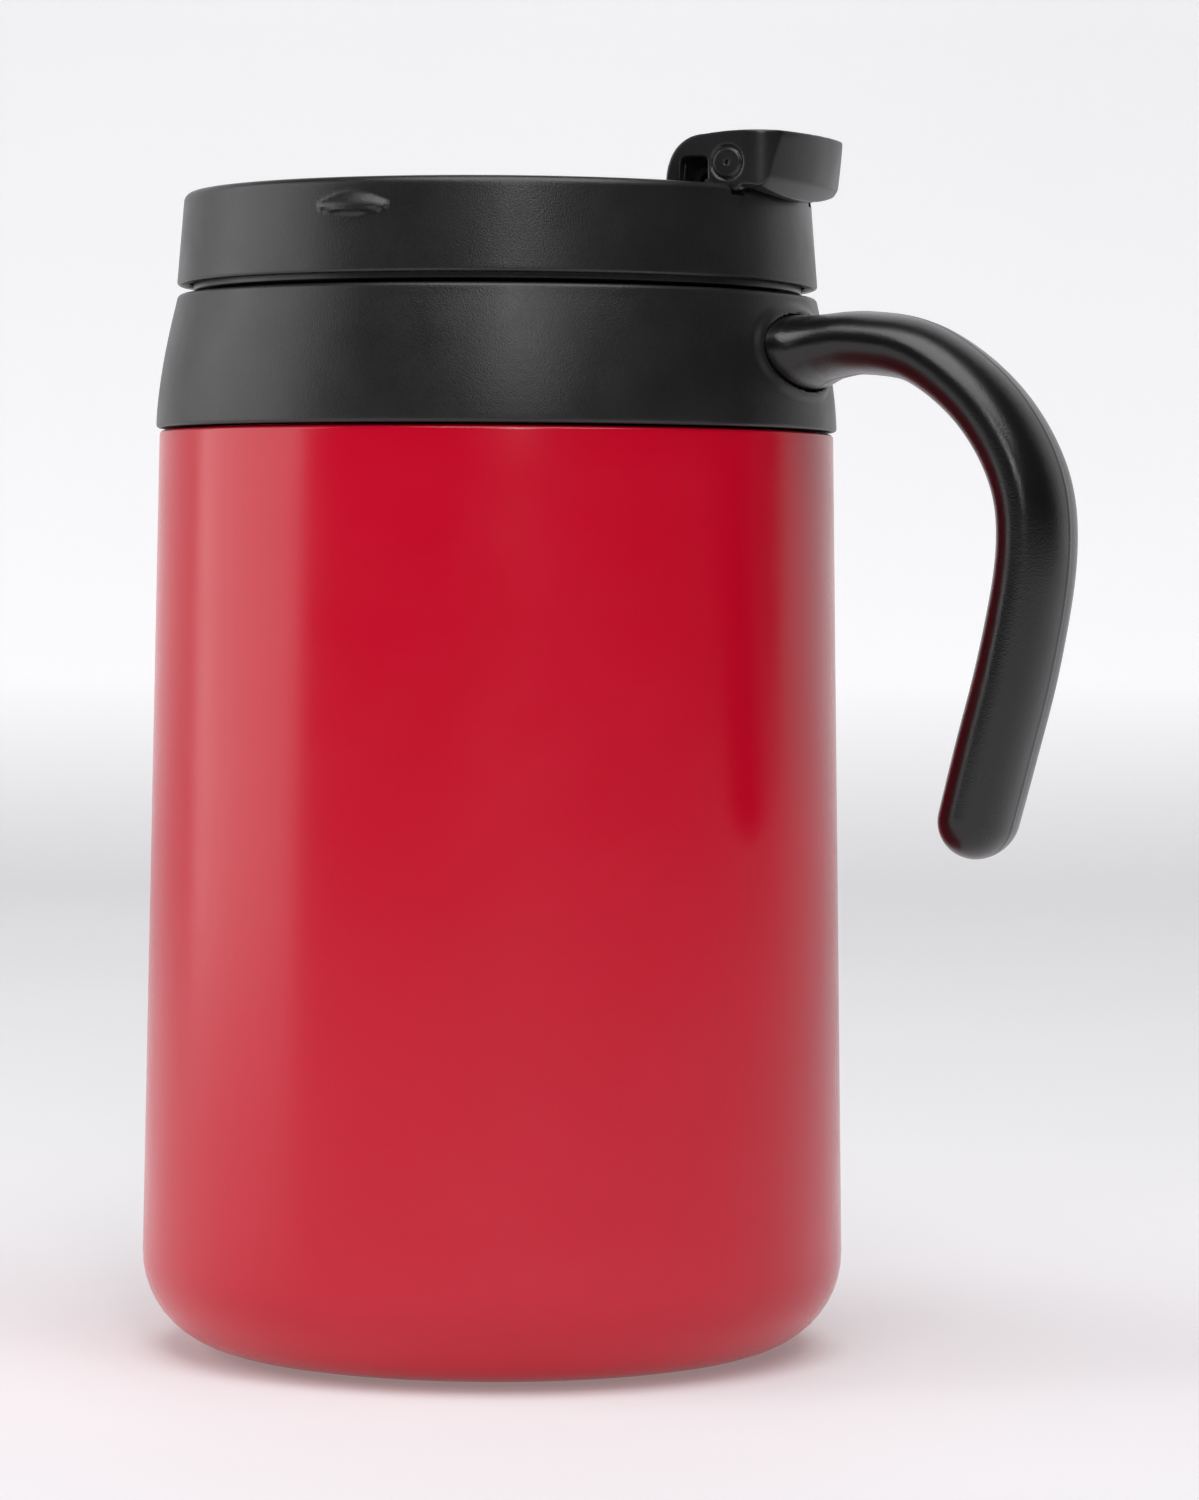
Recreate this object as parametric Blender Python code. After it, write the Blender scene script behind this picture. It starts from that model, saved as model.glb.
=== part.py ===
"""Insulated travel mug: double-walled steel cup, moulded collar with an open J handle, and a
screw lid with a flip cap over its sip hole.

Millimetres are used throughout and turned into metres where a mesh is made. The origin is on
the cup's axis where the base pad meets the table, +Z is up and the handle points along +X.
"""
import math

import bmesh
import bpy
import numpy as np
from mathutils import Matrix

MM = 0.001
SEGMENTS = 40
GAP = 0.3                      # clearance between touching pieces

# Painted outer shell, a slightly tapered can with a necked-in mouth
SHELL_WALL = 0.6
BODY_RADIUS = 45.0
BODY_TOP_RADIUS = 43.15
BODY_BASE_Z = 0.5
BODY_TOP_Z = 117.6
BASE_CORNER = 12.0
BASE_OPENING = 30.0
NECK_RADIUS = 38.2
MOUTH_Z = 124.0

# Inner liner
LINER_BASE_Z = 4.5
LINER_CORNER = 13.0
VACUUM_SPACE = 2.0
MOUTH_RADIUS = 36.7

# Collar
COLLAR_BASE_Z = 117.9
COLLAR_TOP_Z = 134.9
COLLAR_BASE_RADIUS = 43.6
COLLAR_TOP_RADIUS = 40.8
COLLAR_CURVE = 1.6             # power of the collar's inward curve
COLLAR_BORE = 37.6
COLLAR_LEDGE_Z = 126.5

# Screw thread between collar and lid plug
THREAD_LEAD = 4.0
THREAD_TURNS = 1.1
THREAD_START_Z = 128.6
RIDGE_HALF_ROOT = 0.65
RIDGE_HALF_TIP = 0.35
COLLAR_RIDGE_TIP = 36.4
PLUG_RIDGE_TIP = 36.9

# Handle and its oval seat in the collar
HANDLE_Z = 127.9
SEAT_FLOOR_X = 40.9
SEAT_HALF_WIDTH = 9.8
SEAT_HALF_HEIGHT = 5.4
SEAT_LIP = 1.2
SEAT_PROUD = 0.6
SCREW_SPACING = 9.0

# Lid
LID_BASE_Z = 136.1
LID_TOP_Z = 147.8
LID_BASE_RADIUS = 41.0
LID_TOP_RADIUS = 40.05
LID_FLOOR_Z = 145.6
LID_SKIRT_BORE = 39.25
LID_PLATE = 1.8
PLUG_RADIUS = 35.4
PLUG_BASE_Z = 120.5
PLUG_TOP_Z = 141.2
MARK_ANGLES = (90, 180, 270)   # degrees round from the drinking side
MARK_Z = 144.3
VENT_X = -24.0

# Flip cap and its hinge
HINGE_X = 33.5
HINGE_Z = 148.2
CAP_END_RADIUS = 4.3
CAP_HALF_WIDTH = 12.3
CAP_WALL = 1.6
CAP_LIP_TOP_RADIUS = 44.1
CAP_LIP_FOOT_RADIUS = 43.4
CAP_LIP_INNER_RADIUS = 41.9
CAP_LIP_FOOT_Z = 146.3
CAP_EAR_FOOT_Z = 146.9
CAP_EAR_START_X = 36.0
PIN_RADIUS = 0.75
PIN_BORE = 1.05
LUG_INNER_Y = 7.0
LUG_OUTER_Y = 9.6
SIP_X = (36.4, 39.0)
SIP_HALF_LENGTH = 5.5
POCKET_X = (28.4, 35.6)
POCKET_FLOOR_Z = 143.3
POCKET_HALF_WIDTH = 12.9


# ---------------------------------------------------------------- helpers

def finish(name, colour, roughness, metallic=0.0):
    """A Principled material for one piece."""
    mat = bpy.data.materials.new(name + "_finish")
    mat.use_nodes = True
    shader = mat.node_tree.nodes["Principled BSDF"]
    shader.inputs["Base Color"].default_value = (*colour, 1.0)
    shader.inputs["Roughness"].default_value = roughness
    shader.inputs["Metallic"].default_value = metallic
    return mat


RED_PAINT = ((0.50, 0.006, 0.022), 0.38, 0.0)
BLACK_PLASTIC = ((0.012, 0.012, 0.013), 0.45, 0.0)
STEEL = ((0.62, 0.61, 0.60), 0.30, 1.0)
COPPER = ((0.80, 0.42, 0.28), 0.25, 1.0)
SILICONE = ((0.55, 0.56, 0.57), 0.60, 0.0)
DARK_RUBBER = ((0.02, 0.02, 0.02), 0.75, 0.0)
PALE_CERAMIC = ((0.30, 0.30, 0.31), 0.70, 0.0)


def add_piece(name, bm, look):
    """Turn a bmesh built in millimetres into a named object with its own material."""
    bmesh.ops.recalc_face_normals(bm, faces=bm.faces)
    bmesh.ops.scale(bm, vec=(MM, MM, MM), verts=bm.verts)
    mesh = bpy.data.meshes.new(name)
    bm.to_mesh(mesh)
    bm.free()
    mesh.shade_smooth()
    mesh.set_sharp_from_angle(angle=math.radians(35))
    piece = bpy.data.objects.new(name, mesh)
    bpy.context.scene.collection.objects.link(piece)
    piece.data.materials.append(finish(name, *look))
    return piece


def add_tool(name, bm):
    """A hidden shape that other pieces are cut or joined with."""
    tool = add_piece(name, bm, BLACK_PLASTIC)
    tool.hide_render = True
    tool.display_type = 'WIRE'
    return tool


def combine(piece, operation, tool):
    """Boolean a piece with a tool: 'DIFFERENCE', 'UNION' or 'INTERSECT'."""
    step = piece.modifiers.new(tool.name, 'BOOLEAN')
    step.operation = operation
    step.solver = 'EXACT'
    step.object = tool


def arc(centre_a, centre_b, radius, start_deg, end_deg, steps):
    """Points on an arc, both ends included."""
    angles = np.radians(np.linspace(start_deg, end_deg, steps + 1))
    return [(centre_a + radius * math.cos(t), centre_b + radius * math.sin(t)) for t in angles]


def turned(profile, segments=SEGMENTS):
    """Spin an outline of (radius, z) points about Z. One that starts on the axis ends on it too."""
    bm = bmesh.new()
    verts = [bm.verts.new((radius, 0, z)) for radius, z in profile]
    edges = [bm.edges.new(pair) for pair in zip(verts, verts[1:])]
    if profile[0][0] > 0:
        edges.append(bm.edges.new((verts[-1], verts[0])))
    bmesh.ops.spin(bm, geom=verts + edges, cent=(0, 0, 0), axis=(0, 0, 1), dvec=(0, 0, 0),
                   angle=2 * math.pi, steps=segments, use_merge=True)
    bmesh.ops.remove_doubles(bm, verts=bm.verts, dist=1e-4)
    return bm


def extruded(points, travel):
    """A prism from a flat outline of 3D points, pushed along a vector."""
    bm = bmesh.new()
    face = bm.faces.new([bm.verts.new(point) for point in points])
    grown = bmesh.ops.extrude_face_region(bm, geom=[face])
    moved = [item for item in grown["geom"] if isinstance(item, bmesh.types.BMVert)]
    bmesh.ops.translate(bm, vec=travel, verts=moved)
    return bm


def block(low, high):
    """A box between two corners."""
    corners = [(low[0], low[1]), (high[0], low[1]), (high[0], high[1]), (low[0], high[1])]
    return extruded([(x, y, low[2]) for x, y in corners], (0, 0, high[2] - low[2]))


def side_prism(outline, half_width):
    """A prism across the mug from an outline of (x, z) points."""
    return extruded([(x, -half_width, z) for x, z in outline], (0, 2 * half_width, 0))


def oval_prism(half_width, half_height, start_x, end_x, steps=24):
    """An oval bar along X at the handle's height."""
    angles = np.linspace(0, 2 * math.pi, steps, endpoint=False)
    ring = [(start_x, half_width * math.cos(t), HANDLE_Z + half_height * math.sin(t)) for t in angles]
    return extruded(ring, (end_x - start_x, 0, 0))


def rod(radius, start, axis, length, steps=16):
    """A round bar from a point along X, Y or Z."""
    angles = np.linspace(0, 2 * math.pi, steps, endpoint=False)
    first, second = [(1, 2), (2, 0), (0, 1)]["XYZ".index(axis)]
    ring = []
    for angle in angles:
        point = list(start)
        point[first] += radius * math.cos(angle)
        point[second] += radius * math.sin(angle)
        ring.append(point)
    travel = [0, 0, 0]
    travel["XYZ".index(axis)] = length
    return extruded(ring, travel)


def along_x(profile, start_x, y, segments):
    """A piece turned about a line along X at the handle's height, from (radius, distance) points."""
    bm = turned(profile, segments)
    bmesh.ops.rotate(bm, verts=bm.verts, cent=(0, 0, 0), matrix=Matrix.Rotation(math.pi / 2, 3, 'Y'))
    bmesh.ops.translate(bm, verts=bm.verts, vec=(start_x, y, HANDLE_Z))
    return bm


def body_radius(z):
    """Outer radius of the painted cone at a height."""
    share = (z - BODY_BASE_Z - BASE_CORNER) / (BODY_TOP_Z - BODY_BASE_Z - BASE_CORNER)
    return BODY_RADIUS + (BODY_TOP_RADIUS - BODY_RADIUS) * share


def thread_ridge(root_radius, tip_radius, start_z):
    """A helical ridge of trapezoid section whose ends run out into the wall it stands on."""
    steps = int(SEGMENTS * THREAD_TURNS)
    run_out = 4
    bm = bmesh.new()
    rings = []
    for step in range(steps + 1):
        angle = 2 * math.pi * (step + 0.5) / SEGMENTS
        z = start_z + THREAD_LEAD * step / SEGMENTS
        fade = min(1.0, step / run_out, (steps - step) / run_out)
        tip = root_radius + (tip_radius - root_radius) * (0.2 + 0.8 * fade)
        section = [(root_radius, -RIDGE_HALF_ROOT), (tip, -RIDGE_HALF_TIP),
                   (tip, RIDGE_HALF_TIP), (root_radius, RIDGE_HALF_ROOT)]
        rings.append([bm.verts.new((r * math.cos(angle), r * math.sin(angle), z + dz))
                      for r, dz in section])
    for ring, following in zip(rings, rings[1:]):
        for corner in range(4):
            after = (corner + 1) % 4
            bm.faces.new((ring[corner], ring[after], following[after], following[corner]))
    bm.faces.new(rings[0])
    bm.faces.new(rings[-1])
    return bm


# ---------------------------------------------------------------- vessel

def build_outer_shell():
    """Red painted can: rounded foot, straight taper, shoulder and neck."""
    wall = SHELL_WALL
    foot = BODY_RADIUS - BASE_CORNER
    foot_z = BODY_BASE_Z + BASE_CORNER
    shoulder_z = BODY_TOP_Z - wall
    outside = [(BASE_OPENING, BODY_BASE_Z), *arc(foot, foot_z, BASE_CORNER, -90, 0, 6),
               *arc(BODY_TOP_RADIUS - 0.5, BODY_TOP_Z - 0.5, 0.5, 0, 90, 2),
               (NECK_RADIUS + 0.3, BODY_TOP_Z), (NECK_RADIUS, BODY_TOP_Z + 0.3),
               (NECK_RADIUS, MOUTH_Z)]
    inside = [(NECK_RADIUS - wall, MOUTH_Z), (NECK_RADIUS - wall, BODY_TOP_Z + 0.3),
              (NECK_RADIUS + 0.3, shoulder_z), (BODY_TOP_RADIUS - wall, shoulder_z),
              *arc(foot, foot_z, BASE_CORNER - wall, 0, -90, 6), (BASE_OPENING, BODY_BASE_Z + wall)]
    return add_piece("outer_shell", turned(outside + inside), RED_PAINT)


def build_inner_liner():
    """Steel cup with a necked mouth and a lip that covers the outer shell's edge."""
    wall = SHELL_WALL
    lip_z = MOUTH_Z + GAP
    low_radius = body_radius(20) - SHELL_WALL - VACUUM_SPACE
    high_radius = body_radius(112) - SHELL_WALL - VACUUM_SPACE
    corner_z = LINER_BASE_Z + LINER_CORNER
    neck = MOUTH_RADIUS + wall
    outside = [(0, LINER_BASE_Z), *arc(low_radius - LINER_CORNER, corner_z, LINER_CORNER, -90, 0, 6),
               (high_radius, 111.5), (neck, 116.3), (neck, lip_z), (NECK_RADIUS, lip_z),
               (NECK_RADIUS, lip_z + wall)]
    inside = [(MOUTH_RADIUS, lip_z + wall), (MOUTH_RADIUS, 116.0), (high_radius - wall, 111.2),
              *arc(low_radius - LINER_CORNER, corner_z, LINER_CORNER - wall, 0, -90, 6),
              (0, LINER_BASE_Z + wall)]
    return add_piece("inner_liner", turned(outside + inside), STEEL)


def build_base():
    """Closing plate with a central dimple, the solder bead that seals it, and the rubber pad."""
    plate_z = BODY_BASE_Z + SHELL_WALL + GAP
    dimple_z = plate_z + 1.4
    wall = SHELL_WALL
    plate = [(0, dimple_z), (4.6, dimple_z), (6.0, plate_z), (31.4, plate_z), (31.4, plate_z + wall),
             (6.3, plate_z + wall), (4.9, dimple_z + wall), (0, dimple_z + wall)]
    add_piece("base_disc", turned(plate, 32), STEEL)
    bead_top = dimple_z - GAP
    bead = [(0, bead_top - 0.9), (1.4, bead_top - 0.7), (2.4, bead_top - 0.2), (2.5, bead_top), (0, bead_top)]
    add_piece("vacuum_seal_bead", turned(bead, 16), STEEL)
    pad_radius = BASE_OPENING - 0.4
    pad_top = plate_z - GAP
    pad = [(0, 0), (pad_radius - 0.4, 0), (pad_radius, 0.4), (pad_radius, pad_top), (0, pad_top)]
    add_piece("base_pad", turned(pad, 32), DARK_RUBBER)


def build_vacuum_parts():
    """Getter pellet on the closing plate and copper foil round the liner."""
    pellet_floor = BODY_BASE_Z + 2 * SHELL_WALL + 2 * GAP
    pellet = rod(4.0, (18, 0, pellet_floor), 'Z', LINER_BASE_Z - GAP - pellet_floor)
    add_piece("getter_pellet", pellet, PALE_CERAMIC)
    foil = 0.1
    low = body_radius(20) - SHELL_WALL - VACUUM_SPACE + GAP
    high = body_radius(108) - SHELL_WALL - VACUUM_SPACE + GAP
    outline = [(low, 20), (low + foil, 20), (high + foil, 108), (high, 108)]
    add_piece("radiation_shield", turned(outline), COPPER)


def collar_radius(z):
    """Outer radius of the collar, which curves inward toward its top."""
    share = (z - COLLAR_BASE_Z) / (COLLAR_TOP_Z - COLLAR_BASE_Z)
    return COLLAR_BASE_RADIUS - (COLLAR_BASE_RADIUS - COLLAR_TOP_RADIUS) * share ** COLLAR_CURVE


def collar_outline(proud=0.0):
    """The collar's curved outer side from bottom to top."""
    heights = np.linspace(COLLAR_BASE_Z + 0.4, COLLAR_TOP_Z - 0.5, 7)
    return [(collar_radius(z) + proud, z) for z in heights]


def seat_boss():
    """Oval swelling round the handle's seat, whose face follows the collar's curve."""
    steps = 24
    bm = bmesh.new()
    rings = []
    for share in (1.0, 0.7, 0.4):
        ring = []
        for turn in np.linspace(0, 2 * math.pi, steps, endpoint=False):
            y = share * (SEAT_HALF_WIDTH + SEAT_LIP) * math.cos(turn)
            z = HANDLE_Z + share * (SEAT_HALF_HEIGHT + SEAT_LIP) * math.sin(turn)
            radius = collar_radius(z) + SEAT_PROUD
            ring.append(bm.verts.new((math.sqrt(radius ** 2 - y ** 2), y, z)))
        rings.append(ring)
    rings.insert(0, [bm.verts.new((NECK_RADIUS + 1.7, vert.co.y, vert.co.z)) for vert in rings[0]])
    for ring, following in zip(rings, rings[1:]):
        for side in range(steps):
            after = (side + 1) % steps
            bm.faces.new((ring[side], ring[after], following[after], following[side]))
    bm.faces.new(rings[0])
    bm.faces.new(rings[-1])
    return bm


def screw_positions():
    """The two screws that hold the handle, side by side."""
    return (("handle_screw_left", -SCREW_SPACING / 2), ("handle_screw_right", SCREW_SPACING / 2))


def build_collar():
    """Moulded ring over the neck: inner thread, gasket ledge and the handle's oval seat."""
    sleeve = NECK_RADIUS + 0.4
    outline = [(sleeve, COLLAR_BASE_Z), (COLLAR_BASE_RADIUS - 0.4, COLLAR_BASE_Z), *collar_outline(),
               (COLLAR_TOP_RADIUS - 0.5, COLLAR_TOP_Z), (COLLAR_BORE + 0.5, COLLAR_TOP_Z),
               (COLLAR_BORE, COLLAR_TOP_Z - 0.5), (COLLAR_BORE, COLLAR_LEDGE_Z), (sleeve, COLLAR_LEDGE_Z)]
    collar = add_piece("collar", turned(outline), BLACK_PLASTIC)
    combine(collar, 'UNION', add_tool("seat_boss", seat_boss()))
    pocket = oval_prism(SEAT_HALF_WIDTH, SEAT_HALF_HEIGHT, SEAT_FLOOR_X, 50)
    combine(collar, 'DIFFERENCE', add_tool("seat_pocket", pocket))
    for name, y in screw_positions():
        bore = along_x([(0, 0), (2.8, 0), (2.8, 4.0), (1.5, 4.0), (1.5, 6.0), (0, 6.0)], 36.0, y, 20)
        combine(collar, 'DIFFERENCE', add_tool(name + "_bore", bore))
    ridge = thread_ridge(COLLAR_BORE + 0.5, COLLAR_RIDGE_TIP, THREAD_START_Z)
    combine(collar, 'UNION', add_tool("collar_ridge", ridge))

    lip_top = MOUTH_Z + GAP + SHELL_WALL
    gasket = [(COLLAR_BORE - 0.3, lip_top + GAP), (NECK_RADIUS, lip_top + GAP),
              (NECK_RADIUS, COLLAR_LEDGE_Z - GAP), (COLLAR_BORE - 0.3, COLLAR_LEDGE_Z - GAP)]
    add_piece("collar_gasket", turned(gasket), SILICONE)


# ---------------------------------------------------------------- handle

# Centre line in the XZ plane from the collar to the open lower end, with half width across
# the grip and half thickness at each point
HANDLE_POINTS = (
    (41.2, 127.9, 9.5, 5.10),
    (43.6, 127.9, 9.4, 5.00),
    (46.5, 128.2, 8.7, 4.20),
    (51.5, 128.6, 8.3, 3.90),
    (59.3, 127.0, 8.2, 3.95),
    (67.4, 120.7, 8.2, 4.10),
    (72.6, 112.0, 8.2, 4.25),
    (73.7, 102.5, 8.2, 4.30),
    (71.6, 89.5, 8.2, 4.45),
    (68.5, 77.5, 8.1, 4.50),
    (65.3, 65.0, 7.6, 4.40),
)
HANDLE_TIP = 5.0               # length of the rounded end
HANDLE_STATIONS = 24
TIP_STATIONS = 4
HANDLE_SIDES = 16


def smooth_path(points, samples):
    """Catmull-Rom curve through the points, sampled at even steps of its parameter."""
    table = np.array(points)
    table = np.vstack([2 * table[0] - table[1], table, 2 * table[-1] - table[-2]])
    spans = len(points) - 1
    path = []
    for value in np.linspace(0, spans, samples):
        span = min(int(value), spans - 1)
        t = value - span
        before, start, end, after = table[span:span + 4]
        path.append(0.5 * (2 * start + (end - before) * t
                           + (2 * before - 5 * start + 4 * end - after) * t ** 2
                           + (3 * start - before - 3 * end + after) * t ** 3))
    return np.array(path)


def handle_rings():
    """Centre, normal, half width and half thickness of each ring along the handle."""
    fine = smooth_path(HANDLE_POINTS, 600)
    steps = np.linalg.norm(np.diff(fine[:, :2], axis=0), axis=1)
    length = np.concatenate([[0], np.cumsum(steps)])
    grip_end = length[-1] - HANDLE_TIP
    shank = np.linspace(0, grip_end, HANDLE_STATIONS)
    swing = np.linspace(0, math.pi / 2, TIP_STATIONS + 1)[1:-1]
    stations = np.concatenate([shank, grip_end + HANDLE_TIP * np.sin(swing)])
    shrink = np.concatenate([np.ones(HANDLE_STATIONS), np.cos(swing)])
    rings = []
    for place, scale in zip(stations, shrink):
        x, z, half_width, half_thickness = (np.interp(place, length, fine[:, k]) for k in range(4))
        ahead = [np.interp(place + 0.3, length, fine[:, k]) for k in range(2)]
        behind = [np.interp(place - 0.3, length, fine[:, k]) for k in range(2)]
        along = np.subtract(ahead, behind)
        along = along / np.linalg.norm(along)
        rings.append((x, z, -along[1], along[0], half_width * scale, half_thickness * scale))
    return rings, fine[-1, :2]


def handle_mesh():
    """Oval section swept down the centre line, flat at the collar and rounded at the open end."""
    rings, tip = handle_rings()
    bm = bmesh.new()
    loops = []
    for x, z, normal_x, normal_z, half_width, half_thickness in rings:
        loop = []
        for angle in np.linspace(0, 2 * math.pi, HANDLE_SIDES, endpoint=False):
            across = half_width * math.cos(angle)
            out = half_thickness * math.sin(angle)
            loop.append(bm.verts.new((x + out * normal_x, across, z + out * normal_z)))
        loops.append(loop)
    for loop, following in zip(loops, loops[1:]):
        for side in range(HANDLE_SIDES):
            after = (side + 1) % HANDLE_SIDES
            bm.faces.new((loop[side], loop[after], following[after], following[side]))
    bm.faces.new(loops[0])
    point = bm.verts.new((tip[0], 0, tip[1]))
    for side in range(HANDLE_SIDES):
        bm.faces.new((loops[-1][side], loops[-1][(side + 1) % HANDLE_SIDES], point))
    return bm


def build_handle():
    """J handle seated in the collar, with blind holes for its two screws."""
    handle = add_piece("handle", handle_mesh(), BLACK_PLASTIC)
    for name, y in screw_positions():
        combine(handle, 'DIFFERENCE', add_tool(name + "_blind_hole", rod(1.4, (39, y, HANDLE_Z), 'X', 10.4)))
        profile = [(0, 0), (2.0, 0), (2.4, 0.4), (2.4, 0.9), (1.1, 0.9), (1.1, 9.4), (0.5, 10.0), (0, 10.0)]
        screw = along_x(profile, 38.9, y, 16)
        add_piece(name, screw, STEEL)


# ---------------------------------------------------------------- lid

def lid_side_radius(z):
    """Outer radius of the lid's drafted side."""
    share = (z - LID_BASE_Z) / (LID_TOP_Z - LID_BASE_Z)
    return LID_BASE_RADIUS + (LID_TOP_RADIUS - LID_BASE_RADIUS) * share


def grip_mark(angle):
    """Lens-shaped swelling on the lid's side."""
    bm = bmesh.new()
    bmesh.ops.create_uvsphere(bm, u_segments=12, v_segments=6, radius=1.0)
    bmesh.ops.scale(bm, vec=(1.6, 5.2, 1.3), verts=bm.verts)
    bmesh.ops.translate(bm, vec=(lid_side_radius(MARK_Z) - 0.75, 0, MARK_Z), verts=bm.verts)
    bmesh.ops.rotate(bm, verts=bm.verts, cent=(0, 0, 0), matrix=Matrix.Rotation(angle, 3, 'Z'))
    return bm


def build_lid_shell():
    """Lid top with a raised rim, the flip cap's pocket and lugs, and the sip hole."""
    rim_round = 1.2
    edge = lid_side_radius(LID_TOP_Z) - rim_round
    under_z = LID_FLOOR_Z - LID_PLATE
    outline = [(0, LID_FLOOR_Z - 0.3), (37.2, LID_FLOOR_Z), (38.0, LID_TOP_Z - 0.2), (38.5, LID_TOP_Z),
               *arc(edge, LID_TOP_Z - rim_round, rim_round, 80, 0, 3),
               (LID_BASE_RADIUS, LID_BASE_Z + 0.3), (LID_BASE_RADIUS - 0.3, LID_BASE_Z),
               (LID_SKIRT_BORE + 0.2, LID_BASE_Z), (LID_SKIRT_BORE, under_z), (0, under_z)]
    lid = add_piece("lid_shell", turned(outline), BLACK_PLASTIC)
    for angle in MARK_ANGLES:
        mark = grip_mark(math.radians(angle))
        combine(lid, 'UNION', add_tool("grip_mark_%d" % angle, mark))

    spout_top = LID_TOP_Z - 0.05
    well = block((POCKET_X[0] - 1.7, -POCKET_HALF_WIDTH - 1.7, POCKET_FLOOR_Z - 1.6),
                 (36.6, POCKET_HALF_WIDTH + 1.7, under_z + 0.6))
    combine(lid, 'UNION', add_tool("pocket_well", well))
    spout = block((POCKET_X[1] - 1.5, -POCKET_HALF_WIDTH, under_z + 0.4), (38.2, POCKET_HALF_WIDTH, spout_top))
    combine(lid, 'UNION', add_tool("spout_pad", spout))
    pocket = block((POCKET_X[0], -POCKET_HALF_WIDTH, POCKET_FLOOR_Z), (POCKET_X[1], POCKET_HALF_WIDTH, 150))
    combine(lid, 'DIFFERENCE', add_tool("hinge_pocket", pocket))
    for side in (-1, 1):
        tag = "right" if side > 0 else "left"
        inner = (10.3, 12.7) if side > 0 else (-12.7, -10.3)
        slot = block((POCKET_X[1] - 0.5, inner[0], 146.4), (43, inner[1], 150))
        combine(lid, 'DIFFERENCE', add_tool("ear_slot_" + tag, slot))
        start = LUG_INNER_Y if side > 0 else -LUG_OUTER_Y
        lug_line = [*arc(HINGE_X, HINGE_Z, 1.9, 250, 80, 8), (38.4, 147.4), (37.6, 146.3)]
        lug = extruded([(x, start, z) for x, z in lug_line], (0, LUG_OUTER_Y - LUG_INNER_Y, 0))
        combine(lid, 'UNION', add_tool("hinge_lug_" + tag, lug))
    bore = rod(PIN_BORE, (HINGE_X, -12, HINGE_Z), 'Y', 24)
    combine(lid, 'DIFFERENCE', add_tool("lug_bore", bore))
    sip = block((SIP_X[0], -SIP_HALF_LENGTH, 140), (SIP_X[1], SIP_HALF_LENGTH, 150))
    combine(lid, 'DIFFERENCE', add_tool("sip_hole", sip))
    vent = rod(1.6, (VENT_X, 0, 140), 'Z', 8)
    combine(lid, 'DIFFERENCE', add_tool("vent_hole", vent))


def build_vent_plug():
    """Silicone mushroom pushed through the lid opposite the sip hole."""
    floor = LID_FLOOR_Z
    under = LID_FLOOR_Z - LID_PLATE
    outline = [(0, under - 1.8), (1.2, under - 1.7), (2.2, under - 0.6), (2.2, under - GAP), (1.3, under - GAP),
               (1.3, floor + 0.2), (2.8, floor + 0.2), (2.6, floor + 0.8), (1.6, floor + 1.1), (0, floor + 1.1)]
    plug = turned(outline, 14)
    bmesh.ops.translate(plug, verts=plug.verts, vec=(VENT_X, 0, 0))
    add_piece("vent_plug", plug, SILICONE)


def build_lid_plug():
    """Hollow threaded plug under the lid, with its seal, upper gasket and pouring holes."""
    wall = 1.8
    groove = 33.6
    outline = [(0, PLUG_BASE_Z), (34.6, PLUG_BASE_Z), (35.0, PLUG_BASE_Z + 0.4), (35.0, 121.5), (groove, 121.6),
               (groove, 124.4), (PLUG_RADIUS, 124.5), (PLUG_RADIUS, 135.3), (38.9, 135.3), (38.9, 137.3),
               (37.2, 137.4), (37.2, PLUG_TOP_Z), (PLUG_RADIUS - wall, PLUG_TOP_Z), (PLUG_RADIUS - wall, 126.5),
               (groove - wall, 124.5), (groove - wall, PLUG_BASE_Z + wall), (0, PLUG_BASE_Z + wall)]
    plug = add_piece("lid_plug", turned(outline), BLACK_PLASTIC)
    ridge = thread_ridge(PLUG_RADIUS - 0.5, PLUG_RIDGE_TIP, THREAD_START_Z - THREAD_LEAD / 2)
    combine(plug, 'UNION', add_tool("plug_ridge", ridge))
    pour = block((24, -7, 118), (28.5, 7, 124))
    combine(plug, 'DIFFERENCE', add_tool("pouring_hole", pour))
    breather = rod(1.5, (VENT_X, 0, 118), 'Z', 6)
    combine(plug, 'DIFFERENCE', add_tool("breather_hole", breather))

    seal = [(groove + GAP, 121.9), (35.2, 121.9), (36.1, 122.2), (35.4, 122.8), (36.1, 123.4), (35.4, 124.1),
            (groove + GAP, 124.1)]
    add_piece("lid_seal", turned(seal), SILICONE)
    gasket = [(37.5, 138.2), (38.6, 138.0), (38.9, 138.8), (38.6, 139.6), (37.5, 139.6)]
    add_piece("plug_gasket", turned(gasket), SILICONE)


# ---------------------------------------------------------------- flip cap

def cap_top(x):
    """Height of the flip cap's upper face, which rises gently toward its lip."""
    return 152.45 + 1.75 * ((x - 32.6) / 9.2) ** 0.8 if x < 41.8 else 154.2 + 0.45 * (x - 41.8)


def cap_line(inset):
    """Rounded inner end and upper face of the cap in side view, from the end to the lip."""
    end = arc(HINGE_X, HINGE_Z, CAP_END_RADIUS - inset, 180, 102, 6)
    return end + [(x, cap_top(x) - inset) for x in (34.5, 36.5, 39.0, 41.8, 43.2, 45.0)]


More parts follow.
